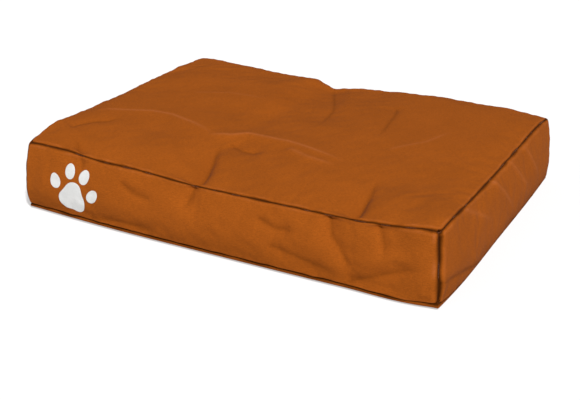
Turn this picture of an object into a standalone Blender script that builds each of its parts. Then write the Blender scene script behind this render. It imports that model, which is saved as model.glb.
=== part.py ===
"""Pet bed cushion: a box-shaped pad of fibre in a liner, inside a woven cover with a zip.

Metres. +X runs along the long side, -Y is the front with the paw print, +Z is up.
The origin is on the floor below the middle of the cushion.
"""

import math

import bmesh
import bpy
from mathutils import Matrix, Vector

# Overall size of the filled cushion
LENGTH = 1.000
WIDTH = 0.800
SIDE_BULGE = 0.010
BACK_BULGE = 0.004
BASE_SEAM_HEIGHT = 0.008
TOP_SEAM_HEIGHT = 0.152
CROWN = 0.018
BASE_ROLL = 0.040

# Cloth, thread and the clearance left between neighbouring pieces
CLOTH = 0.0010
LINER_CLOTH = 0.0006
FILM = 0.0002
LABEL_CLOTH = 0.0003
SEAM_THREAD = 0.0012
LINER_THREAD = 0.0008
STITCH_THREAD = 0.0006
GAP = 0.0003

# How far from its corner a wall starts to curve in, and half the flat height of the back wall
WALL_END = 0.120
BACK_END = 0.034
BACK_FLAT_HALF = 0.021
THREAD_TURN = 0.004

# Zip, across the middle of the back wall
ZIP_END = 0.044
TAPE_HALF = 0.0150
TAPE_THICK = 0.0006
TAPE_OVERLAP = 0.006
TAPE_SETBACK = 0.0004
COIL_WIDTH = 0.0022
COIL_THICK = 0.0020
STOP_LENGTH = 0.0047
STOP_THICK = 0.0026
STOP_MARGIN = 0.0002
STITCH_OFFSET = 0.003

# Slider and its pull
SLIDER_LENGTH = 0.0120
SLIDER_CLEARANCE = 0.0014
PLATE = 0.0012
FLANGE = 0.0006
FLANGE_GAP = 0.0006
FLANGE_LIFT = 0.0005
POST_LENGTH = 0.0030
POST_WIDTH = 0.0018
BRIDGE_HALF = 0.0035
BRIDGE_BAR = 0.0010
BRIDGE_WIDTH = 0.0020
PULL_LENGTH = 0.0250
PULL_HALF = 0.0040
PULL_THICK = 0.0012
PULL_PLAY = 0.0005
PULL_SWING_ROOM = 0.0015
PULL_HOLE = 0.0036
PULL_HOLE_AT = 0.0190

# Liner and filling
LINER_INSET = 0.003
LINER_DROP = 0.003
LINER_CORNER = 0.060
LINER_EDGE_OUT = 0.038
LINER_EDGE_DOWN = 0.030
FILL_CLEARANCE = 0.0009

# Paw print on the front wall
PRINT_FROM_LEFT = 0.126
PRINT_ABOVE_BASE = 0.012
PRINT_BELOW_TOP = 0.0185
PRINT_TILT = math.radians(-10)
PAD_RADIUS = 0.034
PAD_LOBE = 0.12
TOE_SIZE = (0.0125, 0.0175)
PRINT_DRAWN_HEIGHT = 0.1135
TOES = ((-0.050, 0.024, 26), (-0.019, 0.057, 9), (0.019, 0.057, -9), (0.050, 0.024, -26))

# Care label inside the back wall
LABEL_FROM_END = 0.170
LABEL_WIDTH = 0.030
LABEL_BELOW_TAPE = 0.007

# How finely the curved surfaces are divided
PATCH_SHARES = (0.02, 0.35, 0.70, 1.0)
PAD_SHARES = (0.03, 0.35, 0.65, 0.90, 1.0)
PAD_EDGE_STEPS = 4
SMOOTH_ANGLE = math.radians(40)

# Places that follow from the sizes above
HALF_X = LENGTH / 2 - SIDE_BULGE
HALF_Y = WIDTH / 2 - SIDE_BULGE
WALL_LOW = BASE_SEAM_HEIGHT + CLOTH + GAP
WALL_HIGH = TOP_SEAM_HEIGHT - CLOTH - GAP
MID_Z = (WALL_LOW + WALL_HIGH) / 2
HALF_WALL = (WALL_HIGH - WALL_LOW) / 2
BACK_FACE = HALF_Y + BACK_BULGE
TAPE_FACE = BACK_FACE - CLOTH - GAP
TAPE_BACK = TAPE_FACE - TAPE_THICK
COIL_LOW = TAPE_FACE + GAP
COIL_FACE = COIL_LOW + COIL_THICK
COIL_SLOT_HALF = POST_WIDTH / 2 + GAP
COIL_OUTER = COIL_SLOT_HALF + COIL_WIDTH
SLIDER_HALF = COIL_OUTER + FLANGE_GAP + FLANGE
OPENING_HALF = SLIDER_HALF + SLIDER_CLEARANCE
ZIP_HALF = HALF_X - ZIP_END
STOP_X = ZIP_HALF - GAP - STOP_LENGTH
PLATE_LOW = COIL_FACE + GAP
PLATE_FACE = PLATE_LOW + PLATE
BRIDGE_OPENING = PULL_THICK + 2 * PULL_PLAY
SLIDER_X = -STOP_X + GAP + SLIDER_LENGTH / 2
PULL_Y = PLATE_FACE + BRIDGE_OPENING / 2
PRINT_ROOM = TOP_SEAM_HEIGHT - BASE_SEAM_HEIGHT - PRINT_ABOVE_BASE - PRINT_BELOW_TOP
PRINT_SCALE = PRINT_ROOM / PRINT_DRAWN_HEIGHT

# name: direction along the wall, direction out of it, half length, distance out, bulge,
# half of its straight length and half of its straight height
WALLS = {
    "front": ((1, 0), (0, -1), HALF_X, HALF_Y, SIDE_BULGE, HALF_X - WALL_END, 0.0),
    "right": ((0, 1), (1, 0), HALF_Y, HALF_X, SIDE_BULGE, HALF_Y - WALL_END, 0.0),
    "back": ((-1, 0), (0, 1), HALF_X, HALF_Y, BACK_BULGE, HALF_X - BACK_END, BACK_FLAT_HALF),
    "left": ((0, -1), (-1, 0), HALF_Y, HALF_X, SIDE_BULGE, HALF_Y - WALL_END, 0.0),
}

# colour, roughness, metallic
COVER = ((0.340, 0.088, 0.017), 0.55, 0.0)
YARN = ((0.230, 0.060, 0.013), 0.70, 0.0)
TAPE = ((0.060, 0.030, 0.015), 0.80, 0.0)
NYLON = ((0.045, 0.022, 0.012), 0.40, 0.0)
METAL = ((0.350, 0.300, 0.240), 0.35, 1.0)
PRINT = ((0.620, 0.622, 0.600), 0.40, 0.0)
LINER = ((0.780, 0.770, 0.740), 0.90, 0.0)
FIBRE = ((0.860, 0.860, 0.850), 1.00, 0.0)
LABEL = ((0.830, 0.820, 0.800), 0.75, 0.0)


def clear_scene():
    for old in list(bpy.data.objects):
        bpy.data.objects.remove(old, do_unlink=True)


def new_collection(name):
    made = bpy.data.collections.new(name)
    bpy.context.scene.collection.children.link(made)
    return made


def new_material(name, finish):
    colour, roughness, metallic = finish
    made = bpy.data.materials.new(name)
    made.use_nodes = True
    shader = made.node_tree.nodes["Principled BSDF"]
    shader.inputs["Base Color"].default_value = (*colour, 1.0)
    shader.inputs["Roughness"].default_value = roughness
    shader.inputs["Metallic"].default_value = metallic
    return made


def add_object(name, data, collection, finish):
    made = bpy.data.objects.new(name, data)
    data.materials.append(new_material(name, finish))
    collection.objects.link(made)
    return made


def loft(name, rows, closed, thickness, collection, finish, caps=(False, False)):
    """A surface through rows of points, with its thickness behind it unless it is capped solid."""
    count = len(rows[0])
    points = [point for row in rows for point in row]
    faces = []
    for row in range(len(rows) - 1):
        for column in range(count if closed else count - 1):
            after = (column + 1) % count
            low = row * count
            high = low + count
            faces.append((low + column, low + after, high + after, high + column))
    if caps[0]:
        faces.append(tuple(reversed(range(count))))
    if caps[1]:
        last = len(points) - count
        faces.append(tuple(range(last, last + count)))
    data = bpy.data.meshes.new(name)
    data.from_pydata(points, [], faces)
    data.shade_smooth()
    data.set_sharp_from_angle(angle=SMOOTH_ANGLE)
    made = add_object(name, data, collection, finish)
    if thickness:
        shell = made.modifiers.new("Thickness", "SOLIDIFY")
        shell.thickness = thickness
        shell.offset = -1
        shell.use_even_offset = True
    return made


def box(name, low, high, collection, finish):
    size = Vector(high) - Vector(low)
    middle = (Vector(high) + Vector(low)) / 2
    shape = bmesh.new()
    bmesh.ops.create_cube(shape, size=1.0, matrix=Matrix.LocRotScale(middle, None, size))
    data = bpy.data.meshes.new(name)
    shape.to_mesh(data)
    shape.free()
    return add_object(name, data, collection, finish)


def curve_loop(data, points, cyclic):
    spline = data.splines.new("POLY")
    spline.points.add(len(points) - 1)
    for place, point in zip(spline.points, points):
        place.co = (*point, 1.0)
    spline.use_cyclic_u = cyclic


def thread(name, points, diameter, cyclic, collection):
    """A round thread through the points."""
    data = bpy.data.curves.new(name, "CURVE")
    data.dimensions = "3D"
    data.bevel_depth = diameter / 2
    data.bevel_resolution = 2
    data.use_fill_caps = True
    curve_loop(data, points, cyclic)
    return add_object(name, data, collection, YARN)


def rise(distance, flat, half):
    """1 over the straight middle, falling to 0 at the end."""
    past = max(0.0, abs(distance) - flat)
    return 1 - (past / (half - flat)) ** 2


def stations(half, flat, ends, middle):
    """Places from -half to half, closer together outside the straight middle."""
    outer = [flat + (half - flat) * step / ends for step in range(ends, 0, -1)]
    inner = [-flat + 2 * flat * step / middle for step in range(middle + 1)]
    return [-value for value in outer] + inner + outer[::-1]


def spread(low, high, steps):
    return [low + (high - low) * step / steps for step in range(steps + 1)]


def wall_point(wall, along, height, lift=0.0):
    """A point on the outside of a wall, lifted off it."""
    run, out, half_run, half_out, bulge, flat_run, flat_height = WALLS[wall]
    swell = rise(along, flat_run, half_run) * rise(height - MID_Z, flat_height, HALF_WALL)
    reach = half_out + bulge * swell + lift
    return (run[0] * along + out[0] * reach, run[1] * along + out[1] * reach, height)


def wall_sheet(name, wall, runs, heights, thickness, collection, finish, lift=0.0):
    rows = [[wall_point(wall, run, height, lift) for run in runs] for height in heights]
    return loft(name, rows, False, thickness, collection, finish)


def crown(x, y):
    """Height of the top panel above its seam."""
    return CROWN * (1 - (x / HALF_X) ** 4) * (1 - (y / HALF_Y) ** 4)


def roll(place, half):
    """How far the base panel has rolled up towards its seam, from 0 to 1."""
    return max(0.0, (abs(place) - (half - BASE_ROLL)) / BASE_ROLL)


def rounded_loop(half_x, half_y, radius, steps):
    """A rectangle with rounded corners, anticlockwise from above."""
    loop = []
    for turn, (sx, sy) in enumerate(((1, 1), (-1, 1), (-1, -1), (1, -1))):
        for step in range(steps + 1):
            angle = math.radians(90 * turn + 90 * step / steps)
            x = sx * (half_x - radius) + radius * math.cos(angle)
            y = sy * (half_y - radius) + radius * math.sin(angle)
            loop.append((x, y))
    return loop


def add_top_and_base(collection):
    across = stations(HALF_X, HALF_X - WALL_END, 5, 10)
    deep = stations(HALF_Y, HALF_Y - WALL_END, 5, 8)
    rows = [[(x, y, TOP_SEAM_HEIGHT + crown(x, y)) for x in across] for y in deep]
    loft("cover_top", rows, False, CLOTH, collection, COVER)
    rows = []
    for y in stations(HALF_Y, HALF_Y - BASE_ROLL, 5, 1):
        row = []
        for x in stations(HALF_X, HALF_X - BASE_ROLL, 5, 1):
            lift = max(roll(x, HALF_X), roll(y, HALF_Y))
            row.append((-x, y, BASE_SEAM_HEIGHT * lift**2))
        rows.append(row)
    loft("cover_base", rows, False, CLOTH, collection, COVER)


def add_walls(collection):
    heights = spread(WALL_LOW, WALL_HIGH, 12)
    runs = stations(HALF_X, HALF_X - WALL_END, 6, 8)
    wall_sheet("cover_front", "front", runs, heights, CLOTH, collection, COVER)
    half = HALF_Y - CLOTH - GAP
    runs = stations(half, HALF_Y - WALL_END, 6, 6)
    wall_sheet("cover_right", "right", runs, heights, CLOTH, collection, COVER)
    wall_sheet("cover_left", "left", runs, heights, CLOTH, collection, COVER)
    runs = stations(HALF_X, HALF_X - BACK_END, 4, 8)
    heights = spread(WALL_LOW, MID_Z - OPENING_HALF, 7)
    wall_sheet("cover_back_lower", "back", runs, heights, CLOTH, collection, COVER)
    heights = spread(MID_Z + OPENING_HALF, WALL_HIGH, 7)
    wall_sheet("cover_back_upper", "back", runs, heights, CLOTH, collection, COVER)


def add_threads(collection):
    inset = CLOTH + GAP + SEAM_THREAD / 2
    loop = rounded_loop(HALF_X - inset, HALF_Y - inset, THREAD_TURN, 3)
    top_z = TOP_SEAM_HEIGHT - inset
    base_z = BASE_SEAM_HEIGHT + inset
    for name, height in (("top_seam_thread", top_z), ("base_seam_thread", base_z)):
        thread(name, [(x, y, height) for x, y in loop], SEAM_THREAD, True, collection)
    low = base_z + SEAM_THREAD / 2 + GAP
    high = top_z - SEAM_THREAD / 2 - GAP
    for end, sx in (("left", -1), ("right", 1)):
        for face, sy in (("front", -1), ("back", 1)):
            x = sx * (HALF_X - inset)
            y = sy * (HALF_Y - inset)
            line = [(x, y, low), (x, y, high)]
            thread(f"corner_thread_{face}_{end}", line, SEAM_THREAD, False, collection)
    y = BACK_FACE + GAP + STITCH_THREAD / 2
    for name, side in (("upper", 1), ("lower", -1)):
        z = MID_Z + side * (OPENING_HALF + STITCH_OFFSET)
        line = [(-ZIP_HALF, y, z), (ZIP_HALF, y, z)]
        thread(f"zip_stitch_{name}", line, STITCH_THREAD, False, collection)


def add_zip(collection):
    reach = ZIP_HALF + TAPE_OVERLAP
    coil_end = STOP_X - GAP
    for name, side in (("upper", 1), ("lower", -1)):
        edge = COIL_SLOT_HALF + TAPE_SETBACK
        near, far = sorted((MID_Z + side * edge, MID_Z + side * TAPE_HALF))
        box(f"zip_tape_{name}", (-reach, TAPE_BACK, near), (reach, TAPE_FACE, far), collection, TAPE)
        near, far = sorted((MID_Z + side * COIL_SLOT_HALF, MID_Z + side * COIL_OUTER))
        low = (-coil_end, COIL_LOW, near)
        box(f"zip_coil_{name}", low, (coil_end, COIL_FACE, far), collection, NYLON)
    for name, side in (("closed", -1), ("open", 1)):
        near, far = sorted((side * STOP_X, side * (STOP_X + STOP_LENGTH)))
        low = (near, COIL_LOW, MID_Z - COIL_OUTER - STOP_MARGIN)
        high = (far, COIL_LOW + STOP_THICK, MID_Z + COIL_OUTER + STOP_MARGIN)
        box(f"zip_stop_{name}", low, high, collection, METAL)


def add_end_tabs(collection):
    """Cloth over each end of the tapes, between the zip and the corner seam."""
    half = OPENING_HALF - GAP
    heights = spread(MID_Z - half, MID_Z + half, 2)
    runs = [ZIP_HALF] + spread(HALF_X - BACK_END, HALF_X, 4)
    wall_sheet("zip_end_tab_left", "back", runs, heights, CLOTH, collection, COVER)
    runs = [-run for run in reversed(runs)]
    wall_sheet("zip_end_tab_right", "back", runs, heights, CLOTH, collection, COVER)


def slider_boxes():
    """The slider's plates, post, flanges and bridge, as (low, high) corners about the pull's axis."""
    half = SLIDER_LENGTH / 2
    lap = PLATE / 2
    post = POST_WIDTH / 2
    bridge = BRIDGE_WIDTH / 2
    feet = BRIDGE_HALF - BRIDGE_BAR
    back_face = TAPE_BACK - GAP - PULL_Y
    back_low = back_face - PLATE
    plate_low = PLATE_LOW - PULL_Y
    plate_face = PLATE_FACE - PULL_Y
    flange_low = TAPE_FACE + FLANGE_LIFT - PULL_Y
    inner = SLIDER_HALF - FLANGE
    arch = BRIDGE_OPENING / 2
    arch_lap = arch + BRIDGE_BAR / 2
    return [
        ((-half, plate_low, -SLIDER_HALF), (half, plate_face, SLIDER_HALF)),
        ((-half, back_low, -SLIDER_HALF), (half, back_face, SLIDER_HALF)),
        ((-half, back_low + lap, -post), (-half + POST_LENGTH, plate_low + lap, post)),
        ((-half, flange_low, inner), (half, plate_low + lap, SLIDER_HALF)),
        ((-half, flange_low, -SLIDER_HALF), (half, plate_low + lap, -inner)),
        ((-BRIDGE_HALF, plate_face - lap, -bridge), (-feet, arch_lap, bridge)),
        ((feet, plate_face - lap, -bridge), (BRIDGE_HALF, arch_lap, bridge)),
        ((-BRIDGE_HALF, arch, -bridge), (BRIDGE_HALF, arch + BRIDGE_BAR, bridge)),
    ]


def add_slider(collection, helpers):
    """Two plates round the coils, held by the post, with a bridge for the pull."""
    place = Vector((SLIDER_X, PULL_Y, MID_Z))
    first, *others = slider_boxes()
    made = box("zip_slider", *first, collection, METAL)
    made.location = place
    for index, (low, high) in enumerate(others):
        other = box(f"zip_slider_join_{index}", low, high, helpers, METAL)
        other.location = place
        other.hide_render = True
        other.display_type = "WIRE"
        union = made.modifiers.new(f"Join {index}", "BOOLEAN")
        union.operation = "UNION"
        union.solver = "EXACT"
        union.object = other
    return made


def add_pull(collection, slider):
    """The pull: a plate with a window round the bridge and a hole near its free end."""
    data = bpy.data.curves.new("zip_pull", "CURVE")
    data.dimensions = "2D"
    data.fill_mode = "BOTH"
    data.extrude = PULL_THICK / 2
    bar = PULL_THICK / 2
    neck = PULL_LENGTH - PULL_HALF
    outline = [(-bar, PULL_HALF), (-bar, -PULL_HALF)]
    for step in range(9):
        angle = math.radians(-90 + 180 * step / 8)
        outline.append((neck + PULL_HALF * math.cos(angle), PULL_HALF * math.sin(angle)))
    half = BRIDGE_WIDTH / 2 + PULL_PLAY
    end = BRIDGE_HALF + PULL_SWING_ROOM
    window = [(bar, -half), (bar, half), (end, half), (end, -half)]
    hole = []
    for step in range(12):
        angle = -2 * math.pi * step / 12
        x = PULL_HOLE_AT + PULL_HOLE / 2 * math.cos(angle)
        hole.append((x, PULL_HOLE / 2 * math.sin(angle)))
    for loop in (outline, window, hole):
        curve_loop(data, [(x, y, 0.0) for x, y in loop], True)
    made = add_object("zip_pull", data, collection, METAL)
    made.rotation_euler = (math.radians(90), 0.0, 0.0)
    made.parent = slider


def turned(x, z, angle):
    return (x * math.cos(angle) - z * math.sin(angle), x * math.sin(angle) + z * math.cos(angle))


def print_patch(name, centre, outline, collection):
    """A thin film on the front wall, from its outline in to its centre."""
    rows = []
    for share in reversed(PATCH_SHARES):
        row = []
        for x, z in outline:
            run = centre[0] + PRINT_SCALE * share * x
            height = centre[1] + PRINT_SCALE * share * z
            row.append(wall_point("front", run, height, GAP + FILM))
        rows.append(row)
    loft(name, rows, True, FILM, collection, PRINT, caps=(False, True))


def add_print(collection):
    """A broad three-lobed pad under four plain oval toes."""
    at_x = PRINT_FROM_LEFT - HALF_X
    at_z = BASE_SEAM_HEIGHT + PRINT_ABOVE_BASE + PRINT_SCALE * PAD_RADIUS * (1 + PAD_LOBE)
    outline = []
    for step in range(24):
        angle = 2 * math.pi * step / 24
        radius = PAD_RADIUS * (1 - PAD_LOBE * math.sin(3 * angle))
        outline.append(turned(radius * math.cos(angle), radius * math.sin(angle), PRINT_TILT))
    print_patch("print_pad", (at_x, at_z), outline, collection)
    for index, (x, z, lean) in enumerate(TOES):
        tilt = PRINT_TILT + math.radians(lean)
        outline = []
        for step in range(16):
            angle = 2 * math.pi * step / 16
            oval = (TOE_SIZE[0] * math.cos(angle), TOE_SIZE[1] * math.sin(angle))
            outline.append(turned(*oval, tilt))
        dx, dz = turned(PRINT_SCALE * x, PRINT_SCALE * z, PRINT_TILT)
        print_patch(f"print_toe_{index + 1}", (at_x + dx, at_z + dz), outline, collection)


def pad_rows(shrink, top):
    """Loops from the middle of the pad's top, or of its base, down or up to its upright side."""
    half_x = HALF_X - CLOTH - LINER_INSET - shrink
    half_y = HALF_Y - CLOTH - LINER_INSET - shrink
    face_x = half_x - LINER_EDGE_OUT
    face_y = half_y - LINER_EDGE_OUT
    floor = CLOTH + GAP + shrink
    lid = TOP_SEAM_HEIGHT - CLOTH - LINER_DROP - shrink
    rows = []
    for share in PAD_SHARES:
        loop = rounded_loop(face_x * share, face_y * share, LINER_CORNER * share, 4)
        rows.append([(x, y, lid + crown(x, y) if top else floor) for x, y in loop])
    edge = [z for _, _, z in rows[-1]]
    for step in range(1, PAD_EDGE_STEPS + 1):
        angle = math.radians(90 * step / PAD_EDGE_STEPS)
        out = LINER_EDGE_OUT * math.sin(angle)
        down = LINER_EDGE_DOWN * (1 - math.cos(angle)) * (1 if top else -1)
        loop = rounded_loop(face_x + out, face_y + out, LINER_CORNER, 4)
        rows.append([(x, y, z - down) for (x, y), z in zip(loop, edge)])
    return rows


def add_pad(collection):
    """The inner pad: two liner trays sewn together round the middle, and the fibre in them."""
    shoulder = LINER_THREAD / 2 + GAP
    rows = pad_rows(0.0, True)
    rows.append([(x, y, MID_Z + shoulder) for x, y, _ in rows[-1]])
    loft("liner_top", rows[::-1], True, LINER_CLOTH, collection, LINER, (False, True))
    rows = pad_rows(0.0, False)
    rows.append([(x, y, MID_Z - shoulder) for x, y, _ in rows[-1]])
    loft("liner_base", rows, True, LINER_CLOTH, collection, LINER, (True, False))
    seam = [(x, y, MID_Z) for x, y, _ in rows[-1]]
    thread("liner_seam_thread", seam, LINER_THREAD, True, collection)
    rows = pad_rows(FILL_CLEARANCE, False) + pad_rows(FILL_CLEARANCE, True)[::-1]
    loft("fibre_fill", rows, True, 0.0, collection, FIBRE, (True, True))


def add_label(collection):
    """A blank label sewn into the base seam, lying against the inside of the back wall."""
    middle = LABEL_FROM_END - HALF_X
    runs = [middle - LABEL_WIDTH / 2, middle + LABEL_WIDTH / 2]
    low = WALL_LOW + SEAM_THREAD + 2 * GAP
    heights = spread(low, MID_Z - TAPE_HALF - LABEL_BELOW_TAPE, 5)
    lift = -(CLOTH + GAP)
    wall_sheet("care_label", "back", runs, heights, LABEL_CLOTH, collection, LABEL, lift)


def main():
    clear_scene()
    cushion = new_collection("pet_cushion_bed")
    helpers = new_collection("joining_helpers")
    add_top_and_base(cushion)
    add_walls(cushion)
    add_threads(cushion)
    add_zip(cushion)
    add_end_tabs(cushion)
    slider = add_slider(cushion, helpers)
    add_pull(cushion, slider)
    add_print(cushion)
    add_pad(cushion)
    add_label(cushion)


main()
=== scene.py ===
"""Pet cushion bed: the finished looks of a fibre pad in a woven box cover with a zip.

Metres. +X runs along the long side, -Y is the front with the paw print, +Z is up.
Each panel of the cover is a grid of cloth, stuffed by a cloth simulation and then creased.
"""

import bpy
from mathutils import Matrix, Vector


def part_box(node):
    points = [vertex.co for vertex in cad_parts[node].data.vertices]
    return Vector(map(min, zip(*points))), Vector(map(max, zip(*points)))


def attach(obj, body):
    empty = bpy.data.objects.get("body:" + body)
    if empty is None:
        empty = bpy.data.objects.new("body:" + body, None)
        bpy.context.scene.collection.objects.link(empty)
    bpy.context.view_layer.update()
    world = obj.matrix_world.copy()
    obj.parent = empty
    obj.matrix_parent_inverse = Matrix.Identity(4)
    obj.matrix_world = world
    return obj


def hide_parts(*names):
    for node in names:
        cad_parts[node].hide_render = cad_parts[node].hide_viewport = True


bl_info = {
    "name": "Pet Cushion Bed",
    "version": (1, 0, 0),
    "blender": (4, 5, 0),
    "location": "3D View > Sidebar > Pet Cushion",
    "description": "Builds a stuffed box cushion in a woven, zipped cover around its measured frame",
    "category": "Object",
}

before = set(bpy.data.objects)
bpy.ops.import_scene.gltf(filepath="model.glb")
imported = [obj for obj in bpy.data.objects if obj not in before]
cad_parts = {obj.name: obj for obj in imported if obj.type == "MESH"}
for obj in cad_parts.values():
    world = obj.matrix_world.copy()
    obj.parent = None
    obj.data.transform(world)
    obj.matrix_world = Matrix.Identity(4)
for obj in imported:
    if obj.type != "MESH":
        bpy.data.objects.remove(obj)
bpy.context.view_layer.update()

import functools
import math

import bpy
import numpy as np
from bpy.props import FloatProperty, FloatVectorProperty, IntProperty, PointerProperty
from bpy.types import Operator, Panel, PropertyGroup
from mathutils import Matrix, Vector

BODY = "cushion"

# Places read from the frame
HALF_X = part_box("cover_top")[1].x
HALF_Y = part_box("cover_top")[1].y
TOP_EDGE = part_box("top_seam_thread")[1].z
BASE_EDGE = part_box("base_seam_thread")[0].z
SEAM_CLEAR = 0.0013
TOP_SEAM = TOP_EDGE + SEAM_CLEAR
BASE_SEAM = BASE_EDGE - SEAM_CLEAR
SLOT_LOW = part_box("cover_back_lower")[1].z
SLOT_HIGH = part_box("cover_back_upper")[0].z
MID_Z = (SLOT_LOW + SLOT_HIGH) / 2
BACK_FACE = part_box("cover_back_upper")[1].y
ZIP_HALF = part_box("zip_stitch_upper")[1].x
# Half the height and half the length of the back wall's flat run round the zip
FLAT_HALF = 0.021
FLAT_LOW = MID_Z - FLAT_HALF
FLAT_HIGH = MID_Z + FLAT_HALF
FLAT_RUN = HALF_X - 0.034

# Each level part of a direction that lies at 45 degrees
DIAGONAL = 0.7071
# Width of the seam allowance, as cut
ALLOWANCE = 0.008
# Seam stitches: length, share of it that shows and radius of the thread
SEAM_STITCH = (0.0034, 0.86, 0.0004)
# How far the thread lies past the bottom of a seam's groove
THREAD_INSET = 0.0010
# Width of the base's rolled edge
BASE_ROLL = 0.018
# Distance between the cover's threads, and between the ribs of the zip's tape
WEAVE_PITCH = 0.0011
TWILL_PITCH = 0.0009
# Thickness of the printed film, of the liner and of the label
FILM_THICKNESS = 0.00015
LINER_THICKNESS = 0.0005
LABEL_THICKNESS = 0.0003

# Run of each wall, its direction out, half its length and how far out its seams lie
WALLS = {
    "front": ((1, 0), (0, -1), HALF_X, HALF_Y),
    "right": ((0, 1), (1, 0), HALF_Y, HALF_X),
    "back": ((-1, 0), (0, 1), HALF_X, HALF_Y),
    "left": ((0, -1), (-1, 0), HALF_Y, HALF_X),
}
NEXT_WALL = {"front": "right", "right": "back", "back": "left", "left": "front"}
LAST_WALL = {after: before for before, after in NEXT_WALL.items()}

# Top seam of each wall: place along the wall, height, and how far it is pushed out
TOP_LINE = {
    "front": (
        (-0.490, 0.162, 0.000), (-0.434, 0.164, 0.000), (-0.367, 0.160, 0.001),
        (-0.328, 0.156, 0.001), (-0.204, 0.153, 0.001), (-0.050, 0.145, 0.000),
        (0.000, 0.146, 0.001), (0.168, 0.148, 0.002), (0.311, 0.149, 0.000),
        (0.400, 0.156, 0.001), (0.462, 0.164, 0.001), (0.490, 0.160, -0.003),
    ),
    "right": (
        (-0.390, 0.160, -0.002), (-0.368, 0.166, 0.001), (-0.220, 0.165, 0.001),
        (-0.055, 0.168, 0.002), (0.130, 0.172, 0.001), (0.320, 0.171, -0.002),
        (0.390, 0.163, -0.004),
    ),
    "back": (
        (-0.490, 0.163, -0.001), (-0.430, 0.167, 0.001), (-0.330, 0.169, 0.001),
        (-0.170, 0.166, 0.001), (-0.060, 0.159, 0.000), (0.000, 0.155, 0.000),
        (0.050, 0.149, -0.001), (0.088, 0.142, -0.003), (0.109, 0.149, -0.001),
        (0.139, 0.158, 0.001), (0.170, 0.157, 0.001), (0.350, 0.160, 0.001),
        (0.430, 0.163, 0.001), (0.490, 0.162, 0.002),
    ),
    "left": (
        (-0.390, 0.162, 0.002), (-0.300, 0.167, 0.003), (-0.100, 0.170, 0.002),
        (0.050, 0.170, 0.003), (0.200, 0.174, 0.006), (0.320, 0.175, 0.007),
        (0.390, 0.162, 0.001),
    ),
}
# Base seam of each wall, in the same way
BASE_LINE = {
    "front": (
        (-0.490, 0.011, 0.004), (-0.420, 0.012, 0.010), (-0.300, 0.011, 0.017),
        (0.000, 0.010, 0.022), (0.300, 0.010, 0.023), (0.450, 0.009, 0.021),
        (0.490, 0.012, 0.014),
    ),
    "right": (
        (-0.390, 0.012, 0.013), (-0.360, 0.009, 0.014), (0.000, 0.008, 0.014),
        (0.300, 0.008, 0.010), (0.390, 0.008, 0.007),
    ),
    "back": (
        (-0.490, 0.008, 0.000), (-0.300, 0.008, 0.003), (0.300, 0.008, 0.003),
        (0.490, 0.008, 0.000),
    ),
    "left": (
        (-0.390, 0.008, 0.000), (-0.250, 0.008, 0.005), (0.250, 0.008, 0.006),
        (0.390, 0.011, 0.003),
    ),
}
# How far each wall stands out between its seams
BULGE = {"front": 0.013, "right": 0.016, "back": 0.006, "left": 0.018}
# How far each upright seam bows out at the middle of its height
BOW = {"front_right": 0.004, "back_right": 0.007, "back_left": 0.006, "front_left": 0.010}

# Folds of the top: points along the fold, height at its crest, and its spread to each side
TOP_FOLDS = (
    (((-0.45, -0.175), (-0.334, -0.118), (-0.280, -0.115), (-0.203, -0.142), (-0.13, -0.172)),
     0.0150, 0.055, 0.018),
    (((-0.15, -0.178), (-0.099, -0.160), (-0.073, -0.130), (0.040, -0.135), (0.200, -0.175)),
     0.0150, 0.045, 0.016),
    (((-0.085, 0.385), (-0.050, 0.300), (0.011, 0.161), (0.044, -0.01)), -0.0120, 0.060, 0.045),
    (((0.150, 0.230), (0.168, 0.170), (0.195, -0.010)), -0.0050, 0.020, 0.035),
    (((-0.440, -0.300), (-0.410, -0.245), (-0.360, -0.190)), -0.0070, 0.022, 0.014),
    (((0.045, -0.165), (0.105, -0.190), (0.180, -0.200)), 0.0050, 0.022, 0.012),
    (((-0.085, -0.185), (-0.045, -0.205), (0.010, -0.200)), -0.0080, 0.016, 0.026),
    (((0.240, -0.060), (0.300, 0.020), (0.330, 0.120)), 0.0040, 0.035, 0.020),
    (((-0.330, 0.060), (-0.250, 0.100), (-0.140, 0.110)), 0.0030, 0.045, 0.025),
)
# Tucks that the front seam draws into the top
TOP_TUCKS = (
    (((-0.346, -0.392), (-0.366, -0.372), (-0.396, -0.338)), -0.0110, 0.008, 0.012),
    (((-0.060, -0.392), (-0.065, -0.330), (-0.082, -0.262), (-0.104, -0.180)),
     -0.0200, 0.034, 0.009),
    (((0.303, -0.392), (0.298, -0.330), (0.292, -0.262), (0.283, -0.200)),
     -0.0180, 0.030, 0.009),
)
# Soft hills of the top: middle, radii, turn in degrees and height
TOP_HILLS = (
    ((-0.135, 0.360), (0.050, 0.040), 0, 0.005),
    ((0.170, 0.350), (0.110, 0.050), 0, 0.004),
    ((0.150, -0.225), (0.045, 0.070), 20, 0.004),
    ((-0.250, 0.160), (0.180, 0.120), -15, 0.005),
    ((0.300, 0.100), (0.130, 0.170), 10, 0.005),
    ((-0.200, -0.270), (0.110, 0.055), 5, 0.003),
    ((0.400, -0.280), (0.060, 0.060), 0, 0.003),
)
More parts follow.
